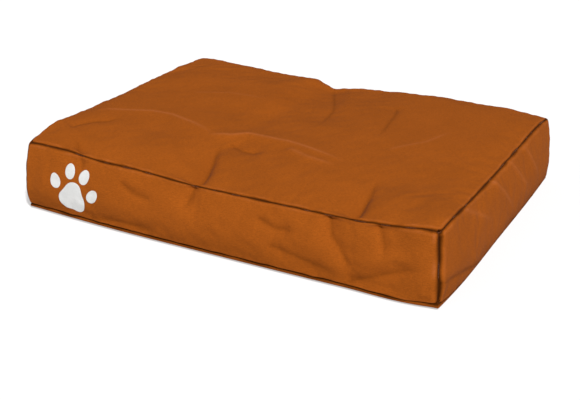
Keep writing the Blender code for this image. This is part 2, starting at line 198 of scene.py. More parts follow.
# Folds of the walls: place along the wall and height, depth, and spread to each side
WALL_FOLDS = {
    "front": (
        (((-0.060, 0.150), (-0.068, 0.120), (-0.078, 0.085)), -0.0120, 0.014, 0.030),
        (((0.250, 0.146), (0.262, 0.104), (0.280, 0.086), (0.303, 0.059), (0.299, 0.025)),
         -0.0140, 0.030, 0.012),
        (((0.358, 0.150), (0.374, 0.119), (0.384, 0.080)), -0.0100, 0.026, 0.010),
        (((-0.240, 0.120), (-0.204, 0.100), (-0.150, 0.094)), -0.0060, 0.014, 0.020),
        (((0.100, 0.110), (0.139, 0.098), (0.190, 0.100)), -0.0060, 0.014, 0.020),
        (((-0.355, 0.160), (-0.345, 0.140), (-0.340, 0.120)), -0.0050, 0.010, 0.016),
        (((0.310, 0.020), (0.380, 0.050), (0.440, 0.075), (0.470, 0.080)), -0.0130, 0.026, 0.040),
        (((0.130, 0.060), (0.210, 0.045), (0.290, 0.030)), -0.0080, 0.022, 0.030),
        (((-0.320, 0.020), (-0.230, 0.030), (-0.120, 0.022)), -0.0060, 0.020, 0.030),
    ),
    "right": (
        (((-0.262, 0.164), (-0.190, 0.128), (-0.124, 0.092)), 0.0045, 0.008, 0.018),
        (((-0.086, 0.166), (-0.020, 0.110), (0.035, 0.060)), 0.0050, 0.008, 0.020),
        (((0.040, 0.168), (0.100, 0.112), (0.150, 0.066)), 0.0045, 0.008, 0.020),
        (((0.150, 0.170), (0.200, 0.110), (0.245, 0.060)), 0.0045, 0.008, 0.020),
        (((-0.394, 0.059), (-0.270, 0.034), (-0.140, 0.004)), -0.0040, 0.005, 0.010),
    ),
    "left": (
        (((-0.300, 0.150), (-0.250, 0.110), (-0.220, 0.060)), -0.0050, 0.014, 0.024),
        (((-0.020, 0.155), (0.010, 0.120), (0.020, 0.080)), -0.0060, 0.016, 0.024),
        (((0.180, 0.150), (0.230, 0.110), (0.290, 0.080)), -0.0040, 0.014, 0.022),
    ),
    "back": (
        (((-0.250, 0.150), (-0.240, 0.125), (-0.245, 0.112)), -0.0040, 0.014, 0.022),
        (((0.095, 0.140), (0.092, 0.125), (0.085, 0.112)), -0.0050, 0.012, 0.020),
        (((0.320, 0.150), (0.330, 0.128), (0.322, 0.112)), -0.0040, 0.014, 0.022),
        (((-0.120, 0.012), (-0.110, 0.035), (-0.130, 0.048)), -0.0040, 0.014, 0.022),
        (((0.240, 0.012), (0.250, 0.034), (0.238, 0.048)), -0.0040, 0.014, 0.022),
    ),
}

# Shares of its length at which a fold has faded in and starts to fade out
FOLD_FADE = (0.12, 0.70)
TUCK_FADE = (-0.01, 0.20)
# The painted shade line along each tuck fades in and out at these shares
TUCK_PAINTED_SHADE_FADE = (-0.01, 0.60)
WALL_FADE = (0.02, 0.60)

# Height from which the top's swell is held back, and its greatest height
CALM = 0.175
MOST = 0.184

# First seed of the unevenness of the level seams, and the seed of each upright one
SEAM_SEEDS = {"top": 30, "base": 60, "front_right": 101, "back_right": 100, "back_left": 99,
              "front_left": 100}

# How deep each seam is drawn in and how wide its rolled edge is, which also set the strength and
# reach of the painted shade in its groove
GROOVES = {
    "top": (0.0052, 0.0085),
    "base": (0.0040, 0.0070),
    "front_right": (0.0105, 0.0160),
    "back_right": (0.0034, 0.0060),
    "back_left": (0.0034, 0.0060),
    "front_left": (0.0060, 0.0100),
}
CORNER_AFTER = {"front": "front_right", "right": "back_right", "back": "back_left",
                "left": "front_left"}
CORNER_BEFORE = {NEXT_WALL[wall]: corner for wall, corner in CORNER_AFTER.items()}

# Distances from a seam at which the cloth is divided; those below zero lie in the seam allowance
EDGE_STEPS = (-ALLOWANCE, -0.0040, 0.0, 0.0007, 0.0015, 0.0025, 0.0038, 0.0055, 0.0078, 0.0106)

PRINT_NODES = ("print_pad", "print_toe_1", "print_toe_2", "print_toe_3", "print_toe_4")
# Rings of a printed patch, from its edge inwards: share of its outline, and height on the cloth
PRINT_RINGS = (
    (1.0, 0.00005), (0.985, 0.00030), (0.95, 0.00040), (0.86, 0.00042), (0.74, 0.00042),
    (0.62, 0.00042), (0.50, 0.00042), (0.38, 0.00042), (0.26, 0.00042), (0.14, 0.00042),
)

# Inner pad: cell, rounds of smoothing, height of its underside, its least height, the height below
# which the liner rests on the base, and how far its upper half lies under the cover
PAD_CELL = 0.014
PAD_ROUNDS = 14
PAD_FOOT = 0.0032
PAD_LEAST = 0.0030
PAD_REST = 0.02
PAD_HEADROOM = 0.012


# ---------------------------------------------------------------- settings


class CoverSettings(PropertyGroup):
    """Cloth of the cover and how it is stuffed."""

    colour: FloatVectorProperty(
        name="Cloth colour",
        description="Colour of the cover's woven cloth",
        subtype="COLOR",
        size=3,
        min=0,
        max=1,
        default=(0.256, 0.0625, 0.0066),
    )
    print_colour: FloatVectorProperty(
        name="Print colour",
        description="Colour of the printed paw",
        subtype="COLOR",
        size=3,
        min=0,
        max=1,
        default=(0.56, 0.56, 0.55),
    )
    thread_colour: FloatVectorProperty(
        name="Thread colour",
        description="Colour of the sewing thread",
        subtype="COLOR",
        size=3,
        min=0,
        max=1,
        default=(0.17, 0.042, 0.009),
    )
    thickness: FloatProperty(
        name="Cloth thickness",
        description="Thickness of the coated cloth",
        subtype="DISTANCE",
        unit="LENGTH",
        default=0.0008,
    )
    crown: FloatProperty(
        name="Crown",
        description="How far the top rises above its seams",
        subtype="DISTANCE",
        unit="LENGTH",
        default=0.011,
    )
    cell: FloatProperty(
        name="Cloth cell",
        description="Size of one cell of the finished cloth",
        subtype="DISTANCE",
        unit="LENGTH",
        default=0.0035,
    )
    pucker: FloatProperty(
        name="Pucker",
        description="Height of the small gathers beside a seam",
        subtype="DISTANCE",
        unit="LENGTH",
        default=0.0007,
    )
    stuffing_cell: FloatProperty(
        name="Simulation cell",
        description="Size of one cell of the simulated cloth",
        subtype="DISTANCE",
        unit="LENGTH",
        default=0.010,
    )
    pressure: FloatProperty(
        name="Stuffing pressure",
        description="How hard the filling presses on the cloth",
        default=0.6,
    )
    ease: FloatProperty(
        name="Ease",
        description="Extra cloth between the seams, as a share of its size",
        default=0.0015,
    )
    most_swell: FloatProperty(
        name="Most swell",
        description="The furthest that the simulation may move the cloth",
        subtype="DISTANCE",
        unit="LENGTH",
        default=0.006,
    )
    frames: IntProperty(
        name="Frames",
        description="Length of the stuffing simulation",
        default=20,
    )


class ZipSettings(PropertyGroup):
    """Tapes, coils and metal of the zip."""

    tape_colour: FloatVectorProperty(
        name="Tape colour",
        description="Colour of the woven tapes",
        subtype="COLOR",
        size=3,
        min=0,
        max=1,
        default=(0.060, 0.022, 0.010),
    )
    coil_colour: FloatVectorProperty(
        name="Coil colour",
        description="Colour of the nylon coils",
        subtype="COLOR",
        size=3,
        min=0,
        max=1,
        default=(0.040, 0.018, 0.010),
    )
    metal_colour: FloatVectorProperty(
        name="Metal colour",
        description="Colour of the slider, pull and stops",
        subtype="COLOR",
        size=3,
        min=0,
        max=1,
        default=(0.42, 0.37, 0.31),
    )
    coil_pitch: FloatProperty(
        name="Coil pitch",
        description="Distance from one turn of the coil to the next",
        subtype="DISTANCE",
        unit="LENGTH",
        default=0.0015,
    )
    stitch: FloatProperty(
        name="Stitch length",
        description="Distance from one stitch to the next",
        subtype="DISTANCE",
        unit="LENGTH",
        default=0.0035,
    )


class PadSettings(PropertyGroup):
    """Liner, filling and label inside the cover."""

    liner_colour: FloatVectorProperty(
        name="Liner colour",
        description="Colour of the inner pad's cloth",
        subtype="COLOR",
        size=3,
        min=0,
        max=1,
        default=(0.78, 0.77, 0.74),
    )
    fibre_colour: FloatVectorProperty(
        name="Fibre colour",
        description="Colour of the fibre filling",
        subtype="COLOR",
        size=3,
        min=0,
        max=1,
        default=(0.86, 0.86, 0.85),
    )
    label_colour: FloatVectorProperty(
        name="Label colour",
        description="Colour of the blank label",
        subtype="COLOR",
        size=3,
        min=0,
        max=1,
        default=(0.83, 0.82, 0.80),
    )
    inset: FloatProperty(
        name="Liner inset",
        description="How far the liner lies inside the cover",
        subtype="DISTANCE",
        unit="LENGTH",
        default=0.009,
    )


class StageSettings(PropertyGroup):
    """Floor, lights and camera."""

    lens: FloatProperty(
        name="Lens",
        description="Focal length of the camera",
        unit="CAMERA",
        default=77.75,
    )
    azimuth: FloatProperty(
        name="Azimuth",
        description="How far the camera stands round from the front",
        subtype="ANGLE",
        unit="ROTATION",
        default=math.radians(25.43),
    )
    elevation: FloatProperty(
        name="Elevation",
        description="Angle of the camera above the floor",
        subtype="ANGLE",
        unit="ROTATION",
        default=math.radians(23.01),
    )
    roll: FloatProperty(
        name="Roll",
        description="Turn of the camera about its own axis",
        subtype="ANGLE",
        unit="ROTATION",
        default=math.radians(1.96),
    )
    distance: FloatProperty(
        name="Distance",
        description="Distance from the camera to its target",
        subtype="DISTANCE",
        unit="LENGTH",
        default=2.7685,
    )
    target: FloatVectorProperty(
        name="Target",
        description="Point that the camera looks at",
        subtype="TRANSLATION",
        unit="LENGTH",
        size=3,
        default=(0.0802, -0.2164, 0.0780),
    )
    sky: FloatProperty(
        name="Sky strength",
        description="Strength of the white light from all round",
        default=0.18,
    )
    floor_glow: FloatProperty(
        name="Floor glow",
        description="White light that the floor gives off, as a lit table does",
        default=0.50,
    )
    floor_colour: FloatVectorProperty(
        name="Floor colour",
        description="Colour of the plain floor",
        subtype="COLOR",
        size=3,
        min=0,
        max=1,
        default=(0.40, 0.40, 0.40),
    )


# ---------------------------------------------------------------- shape of the stuffed cover


def through(points, places):
    """A smooth line through the points (place, value), read at the places."""
    at = np.array([point[0] for point in points])
    value = np.array([point[1] for point in points])
    slope = np.gradient(value, at)
    places = np.clip(places, at[0], at[-1])
    index = np.clip(np.searchsorted(at, places) - 1, 0, len(at) - 2)
    span = at[index + 1] - at[index]
    t = (places - at[index]) / span
    rise = value[index + 1] - value[index]
    a = slope[index] * span - rise
    b = rise - slope[index + 1] * span
    return value[index] + rise * t + t * (1 - t) * (a * (1 - t) + b * t)


def smooth(low, high, value):
    """Rises evenly from 0 at low to 1 at high."""
    t = np.clip((value - low) / (high - low), 0, 1)
    return t * t * (3 - 2 * t)


def ripple(place, wavelength, seed):
    """Uneven waves along a line, mostly between -1 and 1."""
    chance = np.random.default_rng(seed)
    total = 0.0
    for _ in range(6):
        turn = place / (wavelength * chance.uniform(0.6, 1.9)) + chance.random()
        total = total + np.sin(2 * math.pi * turn)
    return total / 2.6


def lumps(x, y, wavelength, seed):
    """Uneven waves over a surface, mostly between -1 and 1."""
    chance = np.random.default_rng(seed)
    total = 0.0
    for _ in range(9):
        angle = chance.uniform(0, math.pi)
        along = x * math.cos(angle) + y * math.sin(angle)
        turn = along / (wavelength * chance.uniform(0.7, 1.8)) + chance.random()
        total = total + np.sin(2 * math.pi * turn)
    return total / 3.4


def hill(x, y, middle, radii, turn, height):
    """A soft hill with an oval plan."""
    angle = math.radians(turn)
    dx = x - middle[0]
    dy = y - middle[1]
    along = (dx * math.cos(angle) + dy * math.sin(angle)) / radii[0]
    across = (-dx * math.sin(angle) + dy * math.cos(angle)) / radii[1]
    return height * np.exp(-(along**2) - across**2)


def fold(x, y, path, height, left, right, sharp=0.0035, fade=FOLD_FADE):
    """A fold along a path, steeper where its spread is small. It fades in and out at its ends."""
    nearest = np.full(np.shape(x), 1e9)
    side = np.zeros(np.shape(x))
    share = np.zeros(np.shape(x))
    lengths = [math.dist(a, b) for a, b in zip(path, path[1:])]
    whole = sum(lengths)
    done = 0.0
    for (ax, ay), (bx, by), length in zip(path, path[1:], lengths):
        ux, uy = (bx - ax) / length, (by - ay) / length
        along = np.clip((x - ax) * ux + (y - ay) * uy, 0, length)
        away_x = x - ax - along * ux
        away_y = y - ay - along * uy
        distance = np.hypot(away_x, away_y)
        closer = distance < nearest
        nearest = np.where(closer, distance, nearest)
        side = np.where(closer, ux * away_y - uy * away_x, side)
        share = np.where(closer, (done + along) / whole, share)
        done += length
    spread = left + (right - left) * smooth(-0.006, 0.006, -side)
    profile = np.exp(-(np.sqrt(nearest**2 + sharp**2) - sharp) / spread)
    ends = smooth(-0.02, fade[0], share) * (1 - smooth(fade[1], 1.0, share))
    return height * profile * ends


def seam_point(lines, wall, along):
    """Points of a wall's top or base seam, as an array (..., 3)."""
    run, out, half, reach = WALLS[wall]
    points = lines[wall]
    height = through([(p[0], p[1]) for p in points], along)
    push = through([(p[0], p[2]) for p in points], along)
    ahead = lines[NEXT_WALL[wall]][0][2]
    behind = lines[LAST_WALL[wall]][-1][2]
    end = smooth(0.80 * half, half, along) * ahead - smooth(0.80 * half, half, -along) * behind
    along = along + end
    reach = reach + push
    x = run[0] * along + out[0] * reach
    y = run[1] * along + out[1] * reach
    return np.stack([x, y, height], -1)


def bowed(share):
    """How an upright seam stands out: quickly past its ends, then nearly straight."""
    return np.sin(math.pi * np.clip(share, 0, 1) ** 0.80) ** 0.5


def wall_bulge(wall, along, z, share):
    """How far a wall stands out between its seams. The back is flat where the zip runs."""
    half = WALLS[wall][2]
    run = 1 - (np.abs(along) / half) ** 4
    profile = np.sin(math.pi * np.clip(share, 0, 1) ** 0.70)
    bow = np.where(along > 0, BOW[CORNER_AFTER[wall]], BOW[CORNER_BEFORE[wall]]) * bowed(share)
    if wall != "back":
        return BULGE[wall] * run * profile + (1 - run) * bow
    past = np.clip((np.abs(along) - FLAT_RUN) / (half - FLAT_RUN), 0, 1)
    flat = 1 - past**2
    low = 1 - np.clip((FLAT_LOW - z) / (FLAT_LOW - BASE_SEAM), 0, 1) ** 2
    high = 1 - np.clip((z - FLAT_HIGH) / (TOP_SEAM - FLAT_HIGH), 0, 1) ** 2
    belly = np.sin(math.pi * np.clip((z - BASE_SEAM) / (FLAT_LOW - BASE_SEAM), 0, 1) ** 0.8)
    brow = np.sin(math.pi * np.clip((z - FLAT_HIGH) / (TOP_SEAM - FLAT_HIGH), 0, 1))
    body = np.where(z < FLAT_LOW, belly, np.where(z > FLAT_HIGH, brow, 0))
    swell = (BACK_FACE - HALF_Y) * flat * low * high + BULGE[wall] * run * body
    return swell + past**2 * bow


def plain_wall(wall, along, height):
    """Points of a wall before it is stuffed. Height is that of a wall with level seams."""
    run, out, half, reach = WALLS[wall]
    base = seam_point(BASE_LINE, wall, along)
    top = seam_point(TOP_LINE, wall, along)
    low = (height - BASE_SEAM) / (FLAT_LOW - BASE_SEAM)
    high = (height - FLAT_HIGH) / (TOP_SEAM - FLAT_HIGH)
    z = np.where(height < FLAT_LOW, base[..., 2] + low * (FLAT_LOW - base[..., 2]), height)
    z = np.where(height > FLAT_HIGH, FLAT_HIGH + high * (top[..., 2] - FLAT_HIGH), z)
    share = (z - base[..., 2]) / (top[..., 2] - base[..., 2])
    lean = np.clip(share, 0, 1)[..., None]
    if wall == "back":
        lean = np.stack([smooth(0.0, 0.30, share), smooth(0.70, 1.0, share)], -1)
        middle = np.zeros(base.shape)
        middle[..., 0] = run[0] * along
        middle[..., 1] = out[1] * reach
        point = base * (1 - lean[..., :1]) + middle * (lean[..., :1] - lean[..., 1:])
        point = point + top * lean[..., 1:]
    else:
        point = base * (1 - lean) + top * lean
    swell = wall_bulge(wall, along, z, share)
    bow = np.where(along > 0, BOW[CORNER_AFTER[wall]], -BOW[CORNER_BEFORE[wall]])
    bow = bow * bowed(share) * (np.abs(along) / half) ** 12
    point[..., 0] += out[0] * swell + run[0] * bow
    point[..., 1] += out[1] * swell + run[1] * bow
    point[..., 2] = z
    return point


def patch(lines, x, y):
    """The surface stretched between the four lines of a seam."""
    s = ((x + HALF_X) / (2 * HALF_X))[..., None]
    t = ((y + HALF_Y) / (2 * HALF_Y))[..., None]
    front = seam_point(lines, "front", x)
    back = seam_point(lines, "back", -x)
    right = seam_point(lines, "right", y)
    left = seam_point(lines, "left", -y)
    edge = np.full(np.shape(x), HALF_X)
    corner = [seam_point(lines, "front", -edge), seam_point(lines, "front", edge)]
    corner += [seam_point(lines, "back", edge), seam_point(lines, "back", -edge)]
    ruled = (1 - t) * front + t * back + (1 - s) * left + s * right
    bilinear = (1 - s) * (1 - t) * corner[0] + s * (1 - t) * corner[1]
    bilinear += (1 - s) * t * corner[2] + s * t * corner[3]
    return ruled - bilinear


def plain_top(x, y, crown):
    """Points of the top before it is creased."""
    point = patch(TOP_LINE, x, y)
    point[..., 2] += crown * (1 - np.abs(x / HALF_X) ** 2.2) * (1 - np.abs(y / HALF_Y) ** 2.4)
    for middle, radii, turn, height in TOP_HILLS:
        near = smooth(0, 0.05, HALF_X - np.abs(x)) * smooth(0, 0.03, HALF_Y - np.abs(y))
        point[..., 2] += near * hill(x, y, middle, radii, turn, height)
    return point


def cell_counts(cell):
    """How many cells lie along the cover, across it and up its walls."""
    height = TOP_SEAM - BASE_SEAM
    return round(2 * HALF_X / cell), round(2 * HALF_Y / cell), round(height / cell)


def coarse_grids(crown, cell):
    """The plain points of the top and the four walls on an even grid."""
    across, deep, tall = cell_counts(cell)
    x = np.linspace(-HALF_X, HALF_X, across + 1)
    y = np.linspace(-HALF_Y, HALF_Y, deep + 1)
    z = np.linspace(BASE_SEAM, TOP_SEAM, tall + 1)
    grids = {"top": plain_top(*np.meshgrid(x, y, indexing="ij"), crown)}
    for wall in WALLS:
        run = x if wall in ("front", "back") else y
        grids[wall] = plain_wall(wall, *np.meshgrid(run, z, indexing="ij"))
    return grids


def welded(grids):
    """One mesh of all the grids, with the points on shared seams merged."""
    points = []
    faces = []
    places = {}
    numbers = {}
    for name, grid in grids.items():
        index = np.zeros(grid.shape[:2], int)
        for i, j in np.ndindex(*grid.shape[:2]):
            key = tuple(np.round(grid[i, j], 5))
            if key not in places:
                places[key] = len(points)
                points.append(grid[i, j])
            index[i, j] = places[key]
        numbers[name] = index
        quads = np.stack([index[:-1, :-1], index[1:, :-1], index[1:, 1:], index[:-1, 1:]], -1)
        faces += quads.reshape(-1, 4).tolist()
    return np.array(points), faces, numbers


def stuffed(settings):
    """How far the simulated stuffing moves each point of the coarse grids."""
    grids = coarse_grids(settings.crown, settings.stuffing_cell)
    points, faces, numbers = welded(grids)
    data = bpy.data.meshes.new("stuffing")
    data.from_pydata(points.tolist(), [], faces)
    cloth = bpy.data.objects.new("stuffing", data)
    bpy.context.scene.collection.objects.link(cloth)
    held = set()
    for name, index in numbers.items():
        held.update(index[0].tolist() + index[-1].tolist())
        held.update(index[:, 0].tolist() + index[:, -1].tolist())
    zip_run = numbers["back"][np.abs(grids["back"][..., 2] - MID_Z) <= FLAT_HALF]
    held.update(zip_run.tolist())
    cloth.vertex_groups.new(name="sewn").add(sorted(held), 1.0, "REPLACE")
    modifier = cloth.modifiers.new("Stuffing", "CLOTH")
    sim = modifier.settings
    sim.vertex_group_mass = "sewn"
    sim.tension_stiffness = 40
    sim.compression_stiffness = 40
    sim.shear_stiffness = 16
    sim.bending_stiffness = 0.3
    sim.air_damping = 1.5
    sim.use_pressure = True
    sim.uniform_pressure_force = settings.pressure
    sim.shrink_min = -settings.ease
    sim.effector_weights.gravity = 0
    modifier.collision_settings.use_collision = False
    modifier.collision_settings.use_self_collision = False
    for step in range(1, settings.frames + 1):
        bpy.context.scene.frame_set(step)
    graph = bpy.context.evaluated_depsgraph_get()
    evaluated = cloth.evaluated_get(graph)
    result = evaluated.to_mesh()
    moved = np.zeros(len(points) * 3, np.float32)
    result.vertices.foreach_get("co", moved)
    evaluated.to_mesh_clear()
    bpy.context.scene.frame_set(1)
    bpy.data.objects.remove(cloth, do_unlink=True)
    bpy.data.meshes.remove(data)
    shift = moved.reshape(-1, 3) - points
    length = np.linalg.norm(shift, axis=1, keepdims=True)
    limit = settings.most_swell
    shift *= limit * np.tanh(length / limit) / np.maximum(length, 1e-9)
    return {name: shift[index] for name, index in numbers.items()}


@functools.lru_cache(maxsize=1)
def stuffing():
    """The result of the stuffing, worked out once."""
    return stuffed(bpy.context.scene.cushion_cover)


def cubic(grid, places):
    """Reads a grid along its first axis at places given in cells, with a smooth curve."""
    count = grid.shape[0]
    places = np.clip(places, 0, count - 1)
    index = np.clip(places.astype(int), 0, count - 2)
    t = (places - index).reshape(-1, *([1] * (grid.ndim - 1)))
    before = grid[np.maximum(index - 1, 0)]
    start = grid[index]
    end = grid[index + 1]
    after = grid[np.minimum(index + 2, count - 1)]
    bend = (3 * (start - end) + after - before) * t
    bend = (bend + 2 * before - 5 * start + 4 * end - after) * t
    return start + 0.5 * t * (bend + end - before)


def read_grid(grid, first, second):
    """Reads a grid at stations along both axes, each from 0 to 1."""
    rows = cubic(grid, first * (grid.shape[0] - 1))
    columns = cubic(np.swapaxes(rows, 0, 1), second * (grid.shape[1] - 1))
    return np.swapaxes(columns, 0, 1)


def stations(low, high, cell, edges=(True, True)):
    """Places from low to high, closer at a sewn edge and reaching past it into the allowance."""
    start = [low + step for step in EDGE_STEPS] if edges[0] else [low]
    end = [high - step for step in EDGE_STEPS] if edges[1] else [high]
    count = max(2, round((end[-1] - start[-1]) / cell))
    middle = np.linspace(start[-1], end[-1], count + 1)
    return np.array(start[:-1] + middle.tolist() + end[-2::-1])


def normals_of(grid):
    """The direction out of the cloth at each point of a grid."""
    first = np.gradient(grid, axis=0)
    second = np.gradient(grid, axis=1)
    normal = np.cross(first, second)
    return normal / np.maximum(np.linalg.norm(normal, axis=-1, keepdims=True), 1e-12)


def drawn_in(distance, depth, width):
    """How far a seam pulls the cloth in at a distance from it, and its allowance past it."""
    near = np.clip(1 - np.clip(distance, 0, None) / width, 0, 1)
    return depth * near**2 + np.clip(-distance, 0, None)


def seam_pull(point, borders):
    """Draws the cloth into its seams. Panels that share a seam give it the same seed and depth."""
    lift = np.zeros(point.shape[:-1])
    point = point.copy()
    for distance, along, direction, depth, width, seed in borders:
        uneven = 1 + 0.35 * ripple(along, 0.060, seed) if seed else 1.0
        pull = drawn_in(distance, depth * uneven, width)[..., None] * np.array(direction)
        point[..., :2] += pull[..., :2]
        lift = np.where(np.abs(pull[..., 2]) > np.abs(lift), pull[..., 2], lift)
    point[..., 2] += lift
    return point


def puckers(borders, height):
    """Small gathers beside each seam."""
    total = 0.0
    for distance, along, direction, _, _, seed in borders:
        away = np.clip(distance, 0, None)
        shift = seed + (3 if direction[2] else 7)
        gather = ripple(along, 0.034, shift) * np.exp(-away / 0.016)
        slack = 1.2 * ripple(along, 0.110, shift + 1) * np.exp(-away / 0.035)
        total = total + height * (gather + slack) * smooth(0.0, 0.006, away)
    return total


def panel_borders(x, y, seam, vertical):
    """The four seams of the top or the base."""
    borders = []
    for number, (run, out, _, reach) in enumerate(WALLS.values()):
        distance = reach - x * out[0] - y * out[1]
        along = x * run[0] + y * run[1]
        inward = level(out, vertical)
        seed = SEAM_SEEDS[seam] + number
        borders.append((distance, along, inward, *GROOVES[seam], seed))
    return borders


def corner_out(wall):
    """The level direction out of the corner after a wall, one step along each axis."""
    return np.array([*np.add(WALLS[wall][1], WALLS[NEXT_WALL[wall]][1]), 0.0])


def corner_borders(x, y):
    """Borders that draw a panel's four corners in as far as the upright seams go."""
    borders = []
    for wall, corner in CORNER_AFTER.items():
        out = corner_out(wall)
        distance = np.hypot(x - HALF_X * out[0], y - HALF_Y * out[1])
        borders.append((distance, distance, -DIAGONAL * out, *GROOVES[corner], 0))
    return borders


def upright_border(distance, z, inward, corner):
    """An upright seam, unevenly deep except at its two ends."""
    depth, width = GROOVES[corner]
    share = np.clip((z - BASE_SEAM) / (TOP_SEAM - BASE_SEAM), 0, 1)
    uneven = 0.35 * ripple(z, 0.060, SEAM_SEEDS[corner]) * np.sin(math.pi * share)
    return (distance, z, inward, depth * (1 + uneven), width, 0)


def level(direction, vertical):
    """A direction into the cushion, at 45 degrees."""
    return (-DIAGONAL * direction[0], -DIAGONAL * direction[1], DIAGONAL * vertical)


def held_down(z):
    """Heights of the top, eased so that none passes the greatest height."""
    over = np.clip(z - CALM, 0, None)
    return z - over + (MOST - CALM) * np.tanh(over / (MOST - CALM))


def wear_and_painted_light(x, y, folds, borders, fade=FOLD_FADE):
    """Painted light and wear of the cloth: above 0 paler on crests and beside seams, partly wear
    from rubbing and partly painted highlight; below 0 painted shade in seam grooves, fold valleys
    and tucks.
    """
    total = 0.0
    for path, height, left, right in folds:
        # Along each fold a line: paler on a crest, partly wear from rubbing and partly painted
        # highlight; darker in a valley or tuck, as painted shade
        line = fold(x, y, path, 1.0, 0.0026, 0.0026, 0.0016, fade)
        total = total + line * np.clip(height / 0.014, -0.30, 0.55)
    for number, (distance, along, _, depth, width, _) in enumerate(borders):
        away = np.clip(distance, 0, None)
        uneven = 0.70 + 0.50 * ripple(along, 0.050, 700 + number)
        # A pale band on the rolled edge beside each seam: wear from rubbing and painted highlight
        seam_wear_and_painted_highlight = 0.28 * np.exp(-((away / width - 0.75) ** 2) / 0.06)
        # Painted shade in the seam's groove, stronger where the seam is drawn deeper
        reach = 0.38 * width * (1 + 0.35 * ripple(along, 0.090, 720 + number))
        painted_seam_shade = np.minimum(1.0, depth / 0.0055) * np.exp(-((away / np.abs(reach)) ** 2))
        total = total + uneven * seam_wear_and_painted_highlight - painted_seam_shade
    return np.clip(total, -1, 1)


def top_rise(x, y):
    """Height of the top's folds, tucks and faint waves."""
    near = smooth(0, 0.03, HALF_X - np.abs(x)) * smooth(0, 0.03, HALF_Y - np.abs(y))
    rise = 0.0020 * lumps(x, y, 0.150, 11) + 0.0006 * lumps(x, y, 0.048, 12)
    for path, height, left, right in TOP_FOLDS:
        rise = rise + fold(x, y, path, height, left, right)
    rise = near * rise
    edge = smooth(0, 0.022, HALF_Y - np.abs(y))
    for path, height, left, right in TOP_TUCKS:
        rise = rise + edge * fold(x, y, path, height, left, right, 0.0020, TUCK_FADE)
    return rise


def wall_rise(wall, along, height, z):
    """How far a wall's folds and faint waves stand out."""
    half = WALLS[wall][2]
    slack = smooth(0, 0.05, half - np.abs(along)) * smooth(0, 0.02, height - BASE_SEAM)
    slack = slack * smooth(0, 0.012, TOP_SEAM - height)
    if wall == "back":
        slack = slack * smooth(FLAT_HALF - 0.002, FLAT_HALF + 0.012, np.abs(z - MID_Z))
    seed = 100 * (1 + list(WALLS).index(wall))
    rise = 0.0018 * lumps(along, z, 0.100, seed) + 0.0006 * lumps(along, z, 0.040, seed + 1)
    for path, depth, left, right in WALL_FOLDS[wall]:
        rise = rise + fold(along, z, path, depth, left, right, 0.0025, WALL_FADE)
    return slack * rise


def finished_top(settings):
    """The creased top as (grid of points, cloth coordinates, painted light and wear of its cloth).
    """
    xs = stations(-HALF_X, HALF_X, settings.cell)
    ys = stations(-HALF_Y, HALF_Y, settings.cell)
    x, y = np.meshgrid(xs, ys, indexing="ij")
    inside_x = np.clip(x, -HALF_X, HALF_X)
    inside_y = np.clip(y, -HALF_Y, HALF_Y)
    point = plain_top(inside_x, inside_y, settings.crown)
    share_x = np.clip((xs + HALF_X) / (2 * HALF_X), 0, 1)
    share_y = np.clip((ys + HALF_Y) / (2 * HALF_Y), 0, 1)
    point += read_grid(stuffing()["top"], share_x, share_y)
    rise = top_rise(inside_x, inside_y)
    borders = panel_borders(x, y, "top", -1)
    rise = rise + puckers(borders, settings.pucker)
    point[..., 2] += rise
    point[..., 2] = held_down(point[..., 2])
    point = seam_pull(point, [*borders, *corner_borders(x, y)])
    # Painted light and wear: painted shade in seam grooves and fold valleys, paler crests from wear
    # and painted highlight, and lines of painted shade along the tucks
    crease = wear_and_painted_light(inside_x, inside_y, TOP_FOLDS, borders)
    crease = crease + wear_and_painted_light(x, y, TOP_TUCKS, (), TUCK_PAINTED_SHADE_FADE)
    return point, np.stack([x, y], -1), crease


def finished_wall(wall, settings, low=BASE_SEAM, high=TOP_SEAM, ends=None):
    """A creased wall in the same form, or the part of it between two heights and two ends."""
    _, out, half, _ = WALLS[wall]
    first, last = ends or (-half, half)
    sewn = (first == -half, last == half)
    runs = stations(first, last, settings.cell, sewn)
    heights = stations(low, high, settings.cell, (low == BASE_SEAM, high == TOP_SEAM))
    along, height = np.meshgrid(runs, heights, indexing="ij")
    inside = np.clip(along, -half, half)
    within = np.clip(height, BASE_SEAM, TOP_SEAM)
    point = plain_wall(wall, inside, within)
    share_run = np.clip((runs + half) / (2 * half), 0, 1)
    share_height = np.clip((heights - BASE_SEAM) / (TOP_SEAM - BASE_SEAM), 0, 1)
    point += read_grid(stuffing()[wall], share_run, share_height)
    z = point[..., 2]
    rise = wall_rise(wall, inside, within, z)
    number = list(WALLS).index(wall)
    side = np.array([*out, 0.0])
    ahead = -DIAGONAL * corner_out(wall)
    behind = -DIAGONAL * corner_out(LAST_WALL[wall])
    borders = (
        (height - BASE_SEAM, inside, level(out, 1), *GROOVES["base"], SEAM_SEEDS["base"] + number),
        (TOP_SEAM - height, inside, level(out, -1), *GROOVES["top"], SEAM_SEEDS["top"] + number),
        upright_border(half - along, z, ahead, CORNER_AFTER[wall]),
        upright_border(along + half, z, behind, CORNER_BEFORE[wall]),
    )
    flat = 1.0
    if wall == "back":
        flat = smooth(FLAT_HALF, FLAT_HALF + 0.015, np.abs(z - MID_Z))
    rise = rise + flat * puckers(borders, settings.pucker)
    point = point + np.asarray(rise)[..., None] * side
    point = seam_pull(point, borders)
    # Painted light and wear: painted shade in seam grooves and fold valleys, paler crests and seam
    # edges from wear and painted highlight
    crease = wear_and_painted_light(inside, z, WALL_FOLDS[wall], borders, WALL_FADE)
    # Painted shade: the wall grows darker towards the floor
    crease = crease - 0.16 * (1 - smooth(0.005, 0.075, height))
    return point, np.stack([along, height], -1), crease


